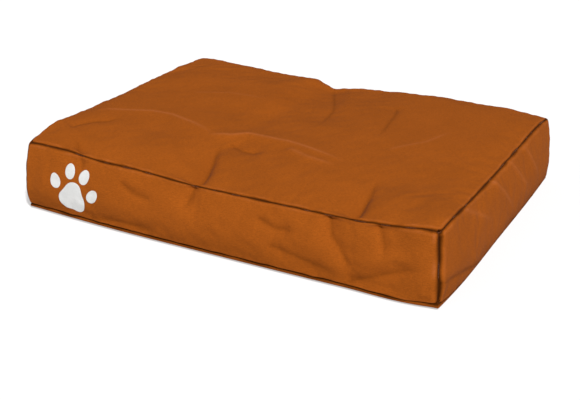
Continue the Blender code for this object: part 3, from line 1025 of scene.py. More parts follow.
def finished_base(settings):
    """The base: flat on the floor, rolled up to its seam all round."""
    xs = stations(-HALF_X, HALF_X, 2 * settings.cell)
    ys = stations(-HALF_Y, HALF_Y, 2 * settings.cell)
    x, y = np.meshgrid(xs, ys, indexing="ij")
    inside_x = np.clip(x, -HALF_X, HALF_X)
    inside_y = np.clip(y, -HALF_Y, HALF_Y)
    point = patch(BASE_LINE, inside_x, inside_y)
    edge = np.minimum(HALF_X - np.abs(inside_x), HALF_Y - np.abs(inside_y))
    for axis, side, half in ((0, inside_x, HALF_X), (1, inside_y, HALF_Y)):
        share = np.clip((half - np.abs(side)) / BASE_ROLL, 0, 1)
        point[..., axis] += np.sign(side) * 1.6 * BASE_ROLL * share * (1 - share)
    roll = (1 - np.clip(edge / BASE_ROLL, 0, 1)) ** 1.6
    crease = 0.0006 * np.clip(lumps(x, y, 0.09, 42), 0, 1) * smooth(0.01, 0.05, edge)
    point[..., 2] = point[..., 2] * roll + crease + settings.thickness
    borders = panel_borders(x, y, "base", 1)
    point = seam_pull(point, [*borders, *corner_borders(x, y)])
    point[..., 2] = np.maximum(point[..., 2], settings.thickness)
    # Painted shade in the seam grooves and all along the rolled edge where the base turns under,
    # with a pale band of wear and painted highlight beside the seams
    shade = wear_and_painted_light(x, y, (), borders) - 0.42 * (1 - smooth(0.010, 0.030, edge))
    return point, np.stack([x, y], -1), shade


# ---------------------------------------------------------------- meshes


def link(name, data):
    """An object of the data, put in the scene."""
    made = bpy.data.objects.new(name, data)
    bpy.context.scene.collection.objects.link(made)
    return made


def mesh_of(name, points, faces):
    """A smooth mesh."""
    data = bpy.data.meshes.new(name)
    data.from_pydata(np.asarray(points).reshape(-1, 3).tolist(), [], faces)
    data.shade_smooth()
    return data


def piece_of(name, points, faces, material):
    """A smooth mesh of one material, as an object in the scene."""
    data = mesh_of(name, points, faces)
    data.materials.append(material)
    return link(name, data)


def thicken(piece, thickness, offset=-1):
    """Gives a sheet its thickness, inwards unless the offset says otherwise."""
    shell = piece.modifiers.new("Thickness", "SOLIDIFY")
    shell.thickness = thickness
    shell.offset = offset


def grid_faces(rows, columns, flip=False, closed=False):
    """Quads over a grid of points, wrapping round its second axis if it is closed."""
    index = np.arange(rows * columns).reshape(rows, columns)
    if closed:
        index = np.concatenate([index, index[:, :1]], axis=1)
    quads = np.stack([index[:-1, :-1], index[1:, :-1], index[1:, 1:], index[:-1, 1:]], -1)
    quads = quads.reshape(-1, 4)
    return (quads[:, ::-1] if flip else quads).tolist()


def store(data, name, values, kind):
    """Keeps a value for each point, which the materials read."""
    attribute = data.attributes.new(name, kind, "POINT")
    field = "vector" if kind == "FLOAT_VECTOR" else "value"
    attribute.data.foreach_set(field, np.asarray(values, np.float32).ravel())


def cloth_piece(name, made, material, thickness, flip=False):
    """A panel from its grid, with the cloth's own coordinates and its thickness inwards."""
    grid, cloth, crease = made
    rows, columns = grid.shape[:2]
    piece = piece_of(name, grid, grid_faces(rows, columns, flip), material)
    flat = np.concatenate([cloth, np.zeros((rows, columns, 1))], axis=-1)
    store(piece.data, "cloth_place", flat, "FLOAT_VECTOR")
    # The crease value is painted light and wear: below 0 painted shade, above 0 wear from rubbing
    # and painted highlight
    store(piece.data, "crease", crease, "FLOAT")
    thicken(piece, thickness)
    return piece


def seat(piece, node, body=BODY):
    """Fixes a piece to its body, in place of the node that it stands for."""
    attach(piece, body)
    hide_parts(node)


def tube(points, radius, sides):
    """Points and faces of a round tube along a line, closed at both ends."""
    line = np.asarray(points, float)
    ahead = np.roll(line, -1, axis=0) - np.roll(line, 1, axis=0)
    ahead[0] = line[1] - line[0]
    ahead[-1] = line[-1] - line[-2]
    ahead /= np.maximum(np.linalg.norm(ahead, axis=1, keepdims=True), 1e-12)
    guide = np.where(np.abs(ahead[:, 2:]) > 0.9, [[1.0, 0.0, 0.0]], [[0.0, 0.0, 1.0]])
    first = np.cross(guide, ahead)
    first /= np.linalg.norm(first, axis=1, keepdims=True)
    second = np.cross(ahead, first)
    angle = 2 * math.pi * np.arange(sides) / sides
    ring = np.cos(angle)[None, :, None] * first[:, None]
    ring = ring + np.sin(angle)[None, :, None] * second[:, None]
    radius = np.broadcast_to(radius, (len(line),))
    verts = line[:, None] + radius[:, None, None] * ring
    faces = grid_faces(len(line), sides, True, True)
    faces.append(list(range(sides))[::-1])
    faces.append([(len(line) - 1) * sides + side for side in range(sides)])
    return verts.reshape(-1, 3), faces


def joined(parts):
    """Several (points, faces) as one."""
    points = []
    faces = []
    count = 0
    for verts, quads in parts:
        points.append(verts)
        faces += [[count + number for number in face] for face in quads]
        count += len(verts)
    return np.concatenate(points), faces


def stitches(name, line, length, share, radius, material, sag=0.0):
    """A row of stitches along a line, each a short thread that dips in at its ends."""
    line = np.asarray(line, float)
    steps = np.linalg.norm(np.diff(line, axis=0), axis=1)
    run = np.concatenate([[0], np.cumsum(steps)])
    count = max(1, int(run[-1] / length))
    parts = []
    for number in range(count):
        start = (number + 0.5 - share / 2) * run[-1] / count
        places = start + share * run[-1] / count * np.linspace(0, 1, 5)
        bead = np.stack([np.interp(places, run, line[:, axis]) for axis in range(3)], -1)
        if sag:
            bead[:, 1] -= sag * np.array([1.0, 0.2, 0.0, 0.2, 1.0])
        parts.append(tube(bead, radius * np.array([0.35, 0.9, 1.0, 0.9, 0.35]), 6))
    return piece_of(name, *joined(parts), material)


# ---------------------------------------------------------------- materials


class Nodes:
    """Small helper that adds and joins the nodes of one material."""

    def __init__(self, name):
        self.material = bpy.data.materials.new(name)
        self.material.use_nodes = True
        self.tree = self.material.node_tree
        self.shader = self.tree.nodes["Principled BSDF"]

    def add(self, kind, **values):
        node = self.tree.nodes.new(kind)
        for key, value in values.items():
            setattr(node, key, value)
        return node

    def join(self, source, target):
        self.tree.links.new(source, target)

    def put(self, target, value):
        if isinstance(value, bpy.types.NodeSocket):
            self.join(value, target)
        else:
            target.default_value = value

    def math(self, operation, first, second=0.0):
        node = self.add("ShaderNodeMath", operation=operation)
        for target, value in zip(node.inputs, (first, second)):
            self.put(target, value)
        return node.outputs[0]

    def times(self, first, second):
        return self.math("MULTIPLY", first, second)

    def cloth_place(self):
        return self.add("ShaderNodeAttribute", attribute_name="cloth_place").outputs["Vector"]

    def value(self, name):
        return self.add("ShaderNodeAttribute", attribute_name=name).outputs["Fac"]

    def object_place(self):
        return self.add("ShaderNodeTexCoord").outputs["Object"]

    def noise(self, vector, scales, detail=2.0, rough=0.5):
        """Noise with a scale of its own along each axis."""
        stretch = self.add("ShaderNodeVectorMath", operation="MULTIPLY")
        self.join(vector, stretch.inputs[0])
        stretch.inputs[1].default_value = scales
        node = self.add("ShaderNodeTexNoise")
        self.join(stretch.outputs[0], node.inputs["Vector"])
        node.inputs["Scale"].default_value = 1.0
        node.inputs["Detail"].default_value = detail
        node.inputs["Roughness"].default_value = rough
        return node.outputs[0]

    def fit(self, value, low, high, to_low, to_high):
        node = self.add("ShaderNodeMapRange")
        for target, number in zip(node.inputs, (value, low, high, to_low, to_high)):
            self.put(target, number)
        return node.outputs[0]

    def spread(self, noise, to_low, to_high):
        """The usual run of a noise, fitted to another."""
        return self.fit(noise, 0.3, 0.7, to_low, to_high)

    def mixed(self, share, first, second, blend="MIX"):
        node = self.add("ShaderNodeMix", data_type="RGBA", blend_type=blend)
        self.put(node.inputs[0], share)
        for target, value in ((node.inputs[6], first), (node.inputs[7], second)):
            self.put(target, value if isinstance(value, bpy.types.NodeSocket) else (*value, 1.0))
        return node.outputs[2]

    def shaded(self, colour, value):
        """The colour made lighter or darker by a value round 1."""
        combine = self.add("ShaderNodeCombineColor")
        for target in combine.inputs[:3]:
            self.join(value, target)
        return self.mixed(1.0, colour, combine.outputs[0], "MULTIPLY")

    def bump(self, height, strength, distance, after=None):
        node = self.add("ShaderNodeBump")
        node.inputs["Strength"].default_value = strength
        node.inputs["Distance"].default_value = distance
        self.join(height, node.inputs["Height"])
        if after is not None:
            self.join(after, node.inputs["Normal"])
        return node.outputs[0]

    def weave(self, vector, pitch):
        """Height of a plain weave whose weft shows as fine level ribs."""
        split = self.add("ShaderNodeSeparateXYZ")
        self.join(vector, split.inputs[0])
        warp = self.math("SINE", self.times(split.outputs[0], math.pi / pitch))
        weft = self.math("SINE", self.times(split.outputs[1], math.pi / pitch))
        over = self.math("GREATER_THAN", self.times(warp, weft), 0.0)
        rib = self.math("ABSOLUTE", weft)
        cord = self.times(self.math("ABSOLUTE", warp), 0.6)
        lift = self.times(self.math("SUBTRACT", rib, cord), over)
        return self.math("ADD", cord, lift)

    def done(self, colour, roughness, normal=None, **sockets):
        """Finishes the shader. Sockets are its other inputs, by their labels in small letters."""
        self.join(colour, self.shader.inputs["Base Color"])
        self.put(self.shader.inputs["Roughness"], roughness)
        if normal is not None:
            self.join(normal, self.shader.inputs["Normal"])
        labels = {socket.name.lower().replace(" ", "_"): socket for socket in self.shader.inputs}
        for name, value in sockets.items():
            labels[name].default_value = value
        return self.material


@functools.lru_cache(maxsize=1)
def cover_cloth():
    """Coated woven polyester: fine level ribs, slubs and faint soiling, paler crests and seam edges
    from wear and painted highlight, and painted shade in seam grooves and fold valleys.
    """
    settings = bpy.context.scene.cushion_cover
    nodes = Nodes("copper_woven_cloth")
    place = nodes.cloth_place()
    weave = nodes.weave(place, WEAVE_PITCH)
    slub = nodes.noise(place, (120.0, 460.0, 1.0), 3.0, 0.6)
    speck = nodes.noise(place, (420.0, 640.0, 1.0), 2.0, 0.6)
    cloud = nodes.noise(place, (9.0, 9.0, 1.0), 3.0, 0.55)
    tone = nodes.spread(slub, 0.88, 1.12)
    tone = nodes.times(tone, nodes.spread(speck, 0.84, 1.16))
    tone = nodes.times(tone, nodes.fit(weave, 0.0, 1.0, 0.86, 1.06))
    tone = nodes.times(tone, nodes.spread(cloud, 0.95, 1.05))
    colour = nodes.shaded(tuple(settings.colour), tone)
    rub = nodes.noise(place, (160.0, 160.0, 1.0), 3.0, 0.6)
    crease = nodes.value("crease")
    # Above 0 the cloth turns paler: wear from rubbing, and painted highlight
    crest = nodes.fit(crease, 0.0, 1.0, 0.0, 1.0)
    wear_and_painted_highlight = nodes.times(crest, nodes.fit(rub, 0.35, 0.65, 0.35, 0.95))
    paler = tuple(min(1.0, 1.45 * part + 0.03) for part in settings.colour)
    colour = nodes.mixed(wear_and_painted_highlight, colour, paler)
    # Below 0 the colour is darkened as painted shade, down to 0.16 of itself
    colour = nodes.shaded(colour, nodes.fit(crease, -1.0, 0.0, 0.16, 1.0))
    roughness = nodes.fit(nodes.math("ADD", speck, cloud), 0.7, 1.3, 0.55, 0.68)
    fine = nodes.bump(weave, 0.55, 0.00022)
    fine = nodes.bump(slub, 0.35, 0.00030, fine)
    return nodes.done(colour, roughness, fine, specular_ior_level=0.0, sheen_weight=0.012)


@functools.lru_cache(maxsize=1)
def print_film():
    """Silver-white printed film, thin enough to show the weave below, with fine cracks."""
    settings = bpy.context.scene.cushion_cover
    nodes = Nodes("silver_white_print")
    place = nodes.cloth_place()
    weave = nodes.weave(place, WEAVE_PITCH)
    cloud = nodes.noise(place, (30.0, 30.0, 1.0), 3.0, 0.6)
    speck = nodes.noise(place, (500.0, 700.0, 1.0), 2.0, 0.6)
    tone = nodes.spread(cloud, 0.93, 1.05)
    tone = nodes.times(tone, nodes.fit(weave, 0.0, 1.0, 0.90, 1.04))
    tone = nodes.times(tone, nodes.fit(speck, 0.25, 0.40, 0.90, 1.0))
    colour = nodes.shaded(tuple(settings.print_colour), tone)
    roughness = nodes.spread(cloud, 0.34, 0.46)
    return nodes.done(colour, roughness, nodes.bump(weave, 0.35, 0.00015), metallic=0.10)


@functools.lru_cache(maxsize=1)
def sewing_thread():
    """Twisted polyester thread."""
    settings = bpy.context.scene.cushion_cover
    nodes = Nodes("brown_sewing_thread")
    place = nodes.object_place()
    twist = nodes.noise(place, (2600.0, 2600.0, 2600.0), 2.0)
    cloud = nodes.noise(place, (40.0, 40.0, 40.0), 2.0)
    tone = nodes.times(nodes.spread(twist, 0.75, 1.15), nodes.spread(cloud, 0.9, 1.1))
    colour = nodes.shaded(tuple(settings.thread_colour), tone)
    roughness = nodes.spread(twist, 0.5, 0.7)
    return nodes.done(colour, roughness, nodes.bump(twist, 0.5, 0.0001), sheen_weight=0.15)


@functools.lru_cache(maxsize=1)
def zip_tape():
    """Woven twill tape with slanting ribs."""
    settings = bpy.context.scene.cushion_zip
    nodes = Nodes("brown_twill_tape")
    place = nodes.object_place()
    split = nodes.add("ShaderNodeSeparateXYZ")
    nodes.join(place, split.inputs[0])
    slant = nodes.math("ADD", split.outputs[0], split.outputs[2])
    rib = nodes.math("ABSOLUTE", nodes.math("SINE", nodes.times(slant, math.pi / TWILL_PITCH)))
    fluff = nodes.noise(place, (900.0, 900.0, 900.0), 2.0)
    tone = nodes.times(nodes.fit(rib, 0.0, 1.0, 0.65, 1.15), nodes.spread(fluff, 0.85, 1.15))
    colour = nodes.shaded(tuple(settings.tape_colour), tone)
    roughness = nodes.spread(fluff, 0.75, 0.9)
    return nodes.done(colour, roughness, nodes.bump(rib, 0.6, 0.00015), sheen_weight=0.2)


@functools.lru_cache(maxsize=1)
def coil_nylon():
    """Moulded nylon wire of the coils."""
    settings = bpy.context.scene.cushion_zip
    nodes = Nodes("brown_coil_nylon")
    cloud = nodes.noise(nodes.object_place(), (300.0, 300.0, 300.0), 2.0)
    colour = nodes.shaded(tuple(settings.coil_colour), nodes.spread(cloud, 0.8, 1.2))
    return nodes.done(colour, nodes.spread(cloud, 0.30, 0.42), nodes.bump(cloud, 0.15, 0.0001))


@functools.lru_cache(maxsize=1)
def antique_metal():
    """Plated zinc alloy, brushed by handling, in uneven darker and lighter patches."""
    settings = bpy.context.scene.cushion_zip
    nodes = Nodes("antique_nickel_metal")
    place = nodes.object_place()
    grain = nodes.noise(place, (400.0, 2500.0, 2500.0), 3.0)
    cloud = nodes.noise(place, (250.0, 250.0, 250.0), 3.0, 0.6)
    wear = nodes.fit(cloud, 0.35, 0.65, 0.72, 1.12)
    colour = nodes.shaded(tuple(settings.metal_colour), wear)
    roughness = nodes.fit(nodes.math("ADD", grain, cloud), 0.7, 1.3, 0.24, 0.46)
    return nodes.done(colour, roughness, nodes.bump(grain, 0.25, 0.00006), metallic=1.0)


def soft_white(name, colour, pitch):
    """Plain unbleached cloth or fibre."""
    nodes = Nodes(name)
    place = nodes.object_place()
    fluff = nodes.noise(place, (pitch, pitch, pitch), 4.0, 0.7)
    cloud = nodes.noise(place, (14.0, 14.0, 14.0), 2.0)
    tone = nodes.times(nodes.spread(fluff, 0.90, 1.04), nodes.spread(cloud, 0.94, 1.04))
    return nodes.done(
        nodes.shaded(tuple(colour), tone),
        nodes.spread(fluff, 0.85, 0.98),
        nodes.bump(fluff, 0.5, 0.0004),
        sheen_weight=0.2,
    )


# ---------------------------------------------------------------- operators


class CUSHION_OT_cover(Operator):
    """Build the top, the walls and the base of the stuffed cover"""

    bl_idname = "cushion.cover"
    bl_label = "Cover"

    def execute(self, context):
        settings = context.scene.cushion_cover
        cloth = cover_cloth()
        thick = settings.thickness
        allowances = 2 * ALLOWANCE
        long_cut = 2 * HALF_X + allowances
        short_cut = 2 * HALF_Y + allowances
        top = cloth_piece("top_panel", finished_top(settings), cloth, thick)
        seat(top, "cover_top")
        base = cloth_piece("base_panel", finished_base(settings), cloth, thick, True)
        seat(base, "cover_base")
        for wall, cut in (("front", long_cut), ("right", short_cut), ("left", short_cut)):
            piece = cloth_piece(f"{wall}_wall", finished_wall(wall, settings), cloth, thick)
            seat(piece, f"cover_{wall}")
        for part, low, high in (("lower", BASE_SEAM, SLOT_LOW), ("upper", SLOT_HIGH, TOP_SEAM)):
            made = finished_wall("back", settings, low, high)
            piece = cloth_piece(f"back_wall_{part}", made, cloth, thick)
            seat(piece, f"cover_back_{part}")
        return {"FINISHED"}


class CUSHION_OT_seams(Operator):
    """Sew the seams of the cover"""

    bl_idname = "cushion.seams"
    bl_label = "Seams"

    def execute(self, context):
        thread = sewing_thread()
        for name, lines, vertical in (("top", TOP_LINE, -1), ("base", BASE_LINE, 1)):
            depth = GROOVES[name][0] + THREAD_INSET
            loop = []
            for wall, (_, out, half, _) in WALLS.items():
                along = np.linspace(-half + 0.004, half - 0.004, 160)
                edge = seam_point(lines, wall, along)
                loop.append(edge + depth * np.array(level(out, vertical)))
            line = np.concatenate(loop + [loop[0][:1]])
            piece = stitches(f"{name}_seam_stitches", line, *SEAM_STITCH, thread)
            seat(piece, f"{name}_seam_thread")
        for wall, corner in CORNER_AFTER.items():
            heights = np.linspace(BASE_SEAM + 0.005, TOP_SEAM - 0.005, 40)
            edge = plain_wall(wall, np.full(len(heights), WALLS[wall][2]), heights)
            line = edge - (GROOVES[corner][0] + THREAD_INSET) * DIAGONAL * corner_out(wall)
            piece = stitches(f"corner_stitches_{corner}", line, *SEAM_STITCH, thread)
            seat(piece, f"corner_thread_{corner}")
        return {"FINISHED"}


class CUSHION_OT_paw_print(Operator):
    """Print the plain paw on the front wall"""

    bl_idname = "cushion.paw_print"
    bl_label = "Paw print"

    def execute(self, context):
        settings = context.scene.cushion_cover
        grid, cloth, _ = finished_wall("front", settings)
        normal = normals_of(grid)
        film = print_film()
        for node in PRINT_NODES:
            low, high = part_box(node)
            outline = self.outline(node, low, high)
            piece = self.patch(node, outline, grid, cloth, normal, film)
            seat(piece, node)
        return {"FINISHED"}

    def outline(self, node, low, high):
        """The pad's three lobes or a toe's oval, fitted to its place."""
        angle = np.linspace(0, 2 * math.pi, 96, endpoint=False)
        tilt = math.radians(-10)
        if node == "print_pad":
            radius = 1 - 0.12 * np.sin(3 * angle) + 0.012 * np.sin(6 * angle + 0.5)
            x, z = radius * np.cos(angle), radius * np.sin(angle)
        else:
            tilt += math.radians({"1": 26, "2": 9, "3": -9, "4": -26}[node[-1]])
            x, z = 0.714 * np.cos(angle), np.sin(angle)
            x = x * (1 - 0.08 * z)
        turned_x = x * math.cos(tilt) - z * math.sin(tilt)
        turned_z = x * math.sin(tilt) + z * math.cos(tilt)
        fit_x = (turned_x - turned_x.min()) / (turned_x.max() - turned_x.min())
        fit_z = (turned_z - turned_z.min()) / (turned_z.max() - turned_z.min())
        return low.x + fit_x * (high.x - low.x), low.z + fit_z * (high.z - low.z)

    def patch(self, node, outline, grid, cloth, normal, film):
        """A thin film that follows the front wall's cloth, inside an outline."""
        x, z = outline
        middle_x, middle_z = x.mean(), z.mean()
        rows = []
        places = []
        for share, lift in PRINT_RINGS:
            px = middle_x + share * (x - middle_x)
            pz = middle_z + share * (z - middle_z)
            i = np.interp(px, cloth[:, 0, 0], np.arange(grid.shape[0]))
            j = self.row_at(grid, i, pz)
            point = self.read(grid, i, j) + lift * self.read(normal, i, j)
            rows.append(point)
            places.append(np.stack([px, pz, np.zeros(len(px))], -1))
        count = len(x)
        faces = grid_faces(len(rows), count, True, True)
        ring = (len(rows) - 1) * count
        faces += [[ring + k, ring + (k + 1) % count, ring + count] for k in range(count)]
        points = np.concatenate([*rows, rows[-1].mean(axis=0, keepdims=True)])
        flat = np.concatenate([*places, places[-1].mean(axis=0, keepdims=True)])
        made = piece_of(node.replace("print_", "paw_"), points, faces, film)
        store(made.data, "cloth_place", flat, "FLOAT_VECTOR")
        if self.faces_back(made.data):
            made.data.flip_normals()
        thicken(made, FILM_THICKNESS)
        return made

    def faces_back(self, data):
        """Whether a patch's faces look into the cushion."""
        data.update()
        return sum(face.normal.y * face.area for face in data.polygons) > 0

    def row_at(self, grid, i, height):
        """The row of the grid that lies at a height, for each column place."""
        rows = np.arange(grid.shape[1])
        low = np.clip(i.astype(int), 0, grid.shape[0] - 1)
        found = [np.interp(h, grid[k, :, 2], rows) for k, h in zip(low, height)]
        return np.array(found)

    def read(self, grid, i, j):
        """Reads a grid at places given in cells."""
        a = np.clip(i.astype(int), 0, grid.shape[0] - 2)
        b = np.clip(j.astype(int), 0, grid.shape[1] - 2)
        s = (i - a)[:, None]
        t = (j - b)[:, None]
        near = grid[a, b] * (1 - t) + grid[a, b + 1] * t
        far = grid[a + 1, b] * (1 - t) + grid[a + 1, b + 1] * t
        return near * (1 - s) + far * s


class CUSHION_OT_zip(Operator):
    """Sew the zip's tapes, coils, stops, end tabs and topstitching into the back wall"""

    bl_idname = "cushion.zip"
    bl_label = "Zip"

    def execute(self, context):
        cover = context.scene.cushion_cover
        settings = context.scene.cushion_zip
        self.tapes()
        self.coils(settings)
        for side in ("closed", "open"):
            rounded(f"zip_stop_{side}", f"crimped_stop_{side}", 0.0006, antique_metal(), BODY)
        thread = sewing_thread()
        for part in ("upper", "lower"):
            low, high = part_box(f"zip_stitch_{part}")
            y = high.y - 0.00035
            z = (low.z + high.z) / 2
            line = [(low.x, y, z), (high.x, y, z)]
            name = f"zip_topstitch_{part}"
            piece = stitches(name, line, settings.stitch, 0.80, 0.00032, thread, 0.0005)
            seat(piece, f"zip_stitch_{part}")
        gap = 0.0003
        for part, first, last in (("left", ZIP_HALF, HALF_X), ("right", -HALF_X, -ZIP_HALF)):
            made = finished_wall("back", cover, SLOT_LOW + gap, SLOT_HIGH - gap, (first, last))
            piece = cloth_piece(f"zip_tab_{part}", made, cover_cloth(), cover.thickness)
            seat(piece, f"zip_end_tab_{part}")
        return {"FINISHED"}

    def tapes(self):
        """Tapes with a thicker woven edge beside the coil."""
        for part, side in (("upper", 1), ("lower", -1)):
            low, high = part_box(f"zip_tape_{part}")
            depth = high.y - low.y
            xs = np.linspace(low.x, high.x, 180)
            across = np.array([0.0, 0.0006, 0.0012, 0.0030, 0.0060, 0.0100, 0.0128, 0.0132, 0.0134])
            rows = []
            for x in xs:
                row = []
                for step in across:
                    z = (low.z + step) if side > 0 else (high.z - step)
                    row.append((x, high.y - 0.00012 * (1 + math.sin(step * 2600.0)), z))
                rows.append(row)
            grid = np.array(rows)
            faces = grid_faces(len(xs), len(across), side < 0)
            piece = piece_of(f"twill_tape_{part}", grid, faces, zip_tape())
            outwards = piece.data.polygons[0].normal.y > 0
            thicken(piece, depth - 0.0002, -1 if outwards else 1)
            seat(piece, f"zip_tape_{part}")

    def coils(self, settings):
        """Flattened nylon coils whose heads lock together on the centre line."""
        for part, side in (("upper", 1), ("lower", -1)):
            low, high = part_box(f"zip_coil_{part}")
            wire = 0.00030
            pitch = settings.coil_pitch
            turns = int((high.x - low.x) / pitch)
            steps = 10
            angle = 2 * math.pi * np.arange(turns * steps + 1) / steps
            x = np.linspace(low.x + wire, high.x - wire, len(angle))
            angle = angle if side > 0 else angle + math.pi
            outer = abs((high.z if side > 0 else low.z) - MID_Z) - wire
            inner = -0.00035
            wave = np.cos(angle)
            y = (low.y + high.y) / 2 + ((high.y - low.y) / 2 - wire) * np.sin(angle)
            z = MID_Z + side * ((outer + inner) / 2 + (outer - inner) / 2 * wave)
            thick = wire * (1 + 0.25 * np.clip(-wave - 0.5, 0, 1))
            points, faces = tube(np.stack([x, y, z], -1), thick, 6)
            seat(piece_of(f"nylon_coil_{part}", points, faces, coil_nylon()), f"zip_coil_{part}")


def rounded(node, name, radius, material, body):
    """A copy of a node with its edges rounded, in its place."""
    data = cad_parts[node].data.copy()
    data.name = name
    data.materials.clear()
    data.materials.append(material)
    piece = link(name, data)
    weld = piece.modifiers.new("Weld", "WELD")
    weld.merge_threshold = 0.00001
    edge = piece.modifiers.new("Edges", "BEVEL")
    edge.width = radius
    edge.segments = 3
    edge.limit_method = "ANGLE"
    edge.angle_limit = math.radians(40)
    data.shade_smooth()
    seat(piece, node, body)


class CUSHION_OT_slider(Operator):
    """Build the zip's slider and its pull"""

    bl_idname = "cushion.slider"
    bl_label = "Slider and pull"

    def execute(self, context):
        rounded("zip_slider", "slider_body", 0.00025, antique_metal(), "slider")
        rounded("zip_pull", "pull_tab", 0.00028, antique_metal(), "pull")
        return {"FINISHED"}


class CUSHION_OT_inner_pad(Operator):
    """Build the inner pad: two halves of liner, their seam and the fibre in them"""

    bl_idname = "cushion.inner_pad"
    bl_label = "Inner pad"

    def execute(self, context):
        cover = context.scene.cushion_cover
        settings = context.scene.cushion_pad
        points, faces, levels = self.pillow(cover, settings)
        liner = soft_white("unbleached_liner", settings.liner_colour, 900.0)
        self.half("liner_shell_top", "liner_top", points, faces, levels, True, liner)
        self.half("liner_shell_base", "liner_base", points, faces, levels, False, liner)
        self.seam(points, levels)
        centre = points.mean(axis=0)
        shrink = 1 - 0.0016 / np.maximum(np.abs(points - centre), 0.02)
        inner = centre + (points - centre) * shrink
        fluff = 0.0008 * lumps(inner[:, 0], inner[:, 1] + inner[:, 2], 0.05, 71)
        inner[:, 2] -= np.abs(fluff)
        white = soft_white("white_fibre", settings.fibre_colour, 260.0)
        fibre = piece_of("stuffed_fibre", inner, faces, white)
        seat(fibre, "fibre_fill")
        return {"FINISHED"}

    def pillow(self, cover, settings):
        """A closed pillow just inside the cover, and the height level of each of its points."""
        grids = coarse_grids(cover.crown, PAD_CELL)
        across, deep, _ = cell_counts(PAD_CELL)
        x = np.linspace(-HALF_X, HALF_X, across + 1)
        y = np.linspace(-HALF_Y, HALF_Y, deep + 1)
        z = np.linspace(BASE_SEAM, TOP_SEAM, grids["front"].shape[1])
        for name, grid in grids.items():
            rows, columns = grid.shape[:2]
            shares = np.linspace(0, 1, rows), np.linspace(0, 1, columns)
            grid += read_grid(stuffing()[name], *shares)
            if name == "top":
                rise = top_rise(*np.meshgrid(x, y, indexing="ij"))
                grid[..., 2] = held_down(grid[..., 2] + rise)
                continue
            out = WALLS[name][1]
            along, height = np.meshgrid(x if out[0] == 0 else y, z, indexing="ij")
            grid += wall_rise(name, along, height, grid[..., 2])[..., None] * np.array([*out, 0.0])
        base = patch(BASE_LINE, *np.meshgrid(x, y, indexing="ij"))
        grids["base"] = base[:, ::-1]
        points, faces, numbers = welded(grids)
        ring = sorted(set(np.concatenate([numbers[wall].ravel() for wall in WALLS]).tolist()))
        neighbours = self.neighbours(faces, len(points))
        target = points.copy()
        target[target[:, 2] < PAD_REST, 2] = PAD_FOOT
        for _ in range(PAD_ROUNDS):
            mean = np.stack([target[near].mean(axis=0) for near in neighbours])
            target[ring] = 0.5 * target[ring] + 0.5 * mean[ring]
        away = target - np.array([0.0, 0.0, MID_Z])
        for axis, reach in ((0, HALF_X), (1, HALF_Y)):
            pull = settings.inset * smooth(0.5 * reach, reach, np.abs(away[:, axis]))
            target[:, axis] -= np.sign(away[:, axis]) * pull
        target[away[:, 2] > 0.04, 2] -= PAD_HEADROOM
        target[:, 2] = np.clip(target[:, 2], PAD_LEAST, None)
        return target, faces, numbers

    def neighbours(self, faces, count):
        """The points joined by an edge to each point."""
        near = [set() for _ in range(count)]
        for face in faces:
            for a, b in zip(face, face[1:] + face[:1]):
                near[a].add(b)
                near[b].add(a)
        return [sorted(group) for group in near]

    def half(self, name, node, points, faces, levels, above, material):
        """The faces above or below the liner's seam, as a thin tray."""
        split = self.split_row(levels)
        upper = set(levels["top"].ravel().tolist())
        for wall in WALLS:
            upper.update(levels[wall][:, split:].ravel().tolist())
        chosen = [face for face in faces if all(number in upper for number in face) == above]
        used = sorted({number for face in chosen for number in face})
        order = {number: place for place, number in enumerate(used)}
        quads = [[order[number] for number in face] for face in chosen]
        piece = piece_of(name, points[used], quads, material)
        thicken(piece, LINER_THICKNESS)
        seat(piece, node)

    def split_row(self, levels):
        """The row of the walls that the liner's seam runs along."""
        return levels["front"].shape[1] // 2

    def seam(self, points, levels):
        """The stitches that close the liner."""
        row = self.split_row(levels)
        loop = [points[levels[wall][:-1, row]] for wall in WALLS]
        line = np.concatenate(loop + [loop[0][:1]])
        piece = stitches("liner_seam_stitches", line, 0.006, 0.9, 0.0004, sewing_thread())
        seat(piece, "liner_seam_thread")


class CUSHION_OT_label(Operator):
    """Sew in the blank label"""

    bl_idname = "cushion.label"
    bl_label = "Blank label"

    def execute(self, context):
        settings = context.scene.cushion_pad
        low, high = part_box("care_label")
        xs = np.linspace(low.x, high.x, 21)
        zs = np.linspace(low.z, high.z, 33)
        x, z = np.meshgrid(xs, zs, indexing="ij")
        y = (low.y + high.y) / 2 - 0.0006 + 0.0005 * np.sin(150 * z + 60 * (x - low.x))
        satin = soft_white("satin_label", settings.label_colour, 1500.0)
        faces = grid_faces(len(xs), len(zs), True)
        piece = piece_of("blank_label", np.stack([x, y, z], -1), faces, satin)
        thicken(piece, LABEL_THICKNESS)
        seat(piece, "care_label")
        return {"FINISHED"}


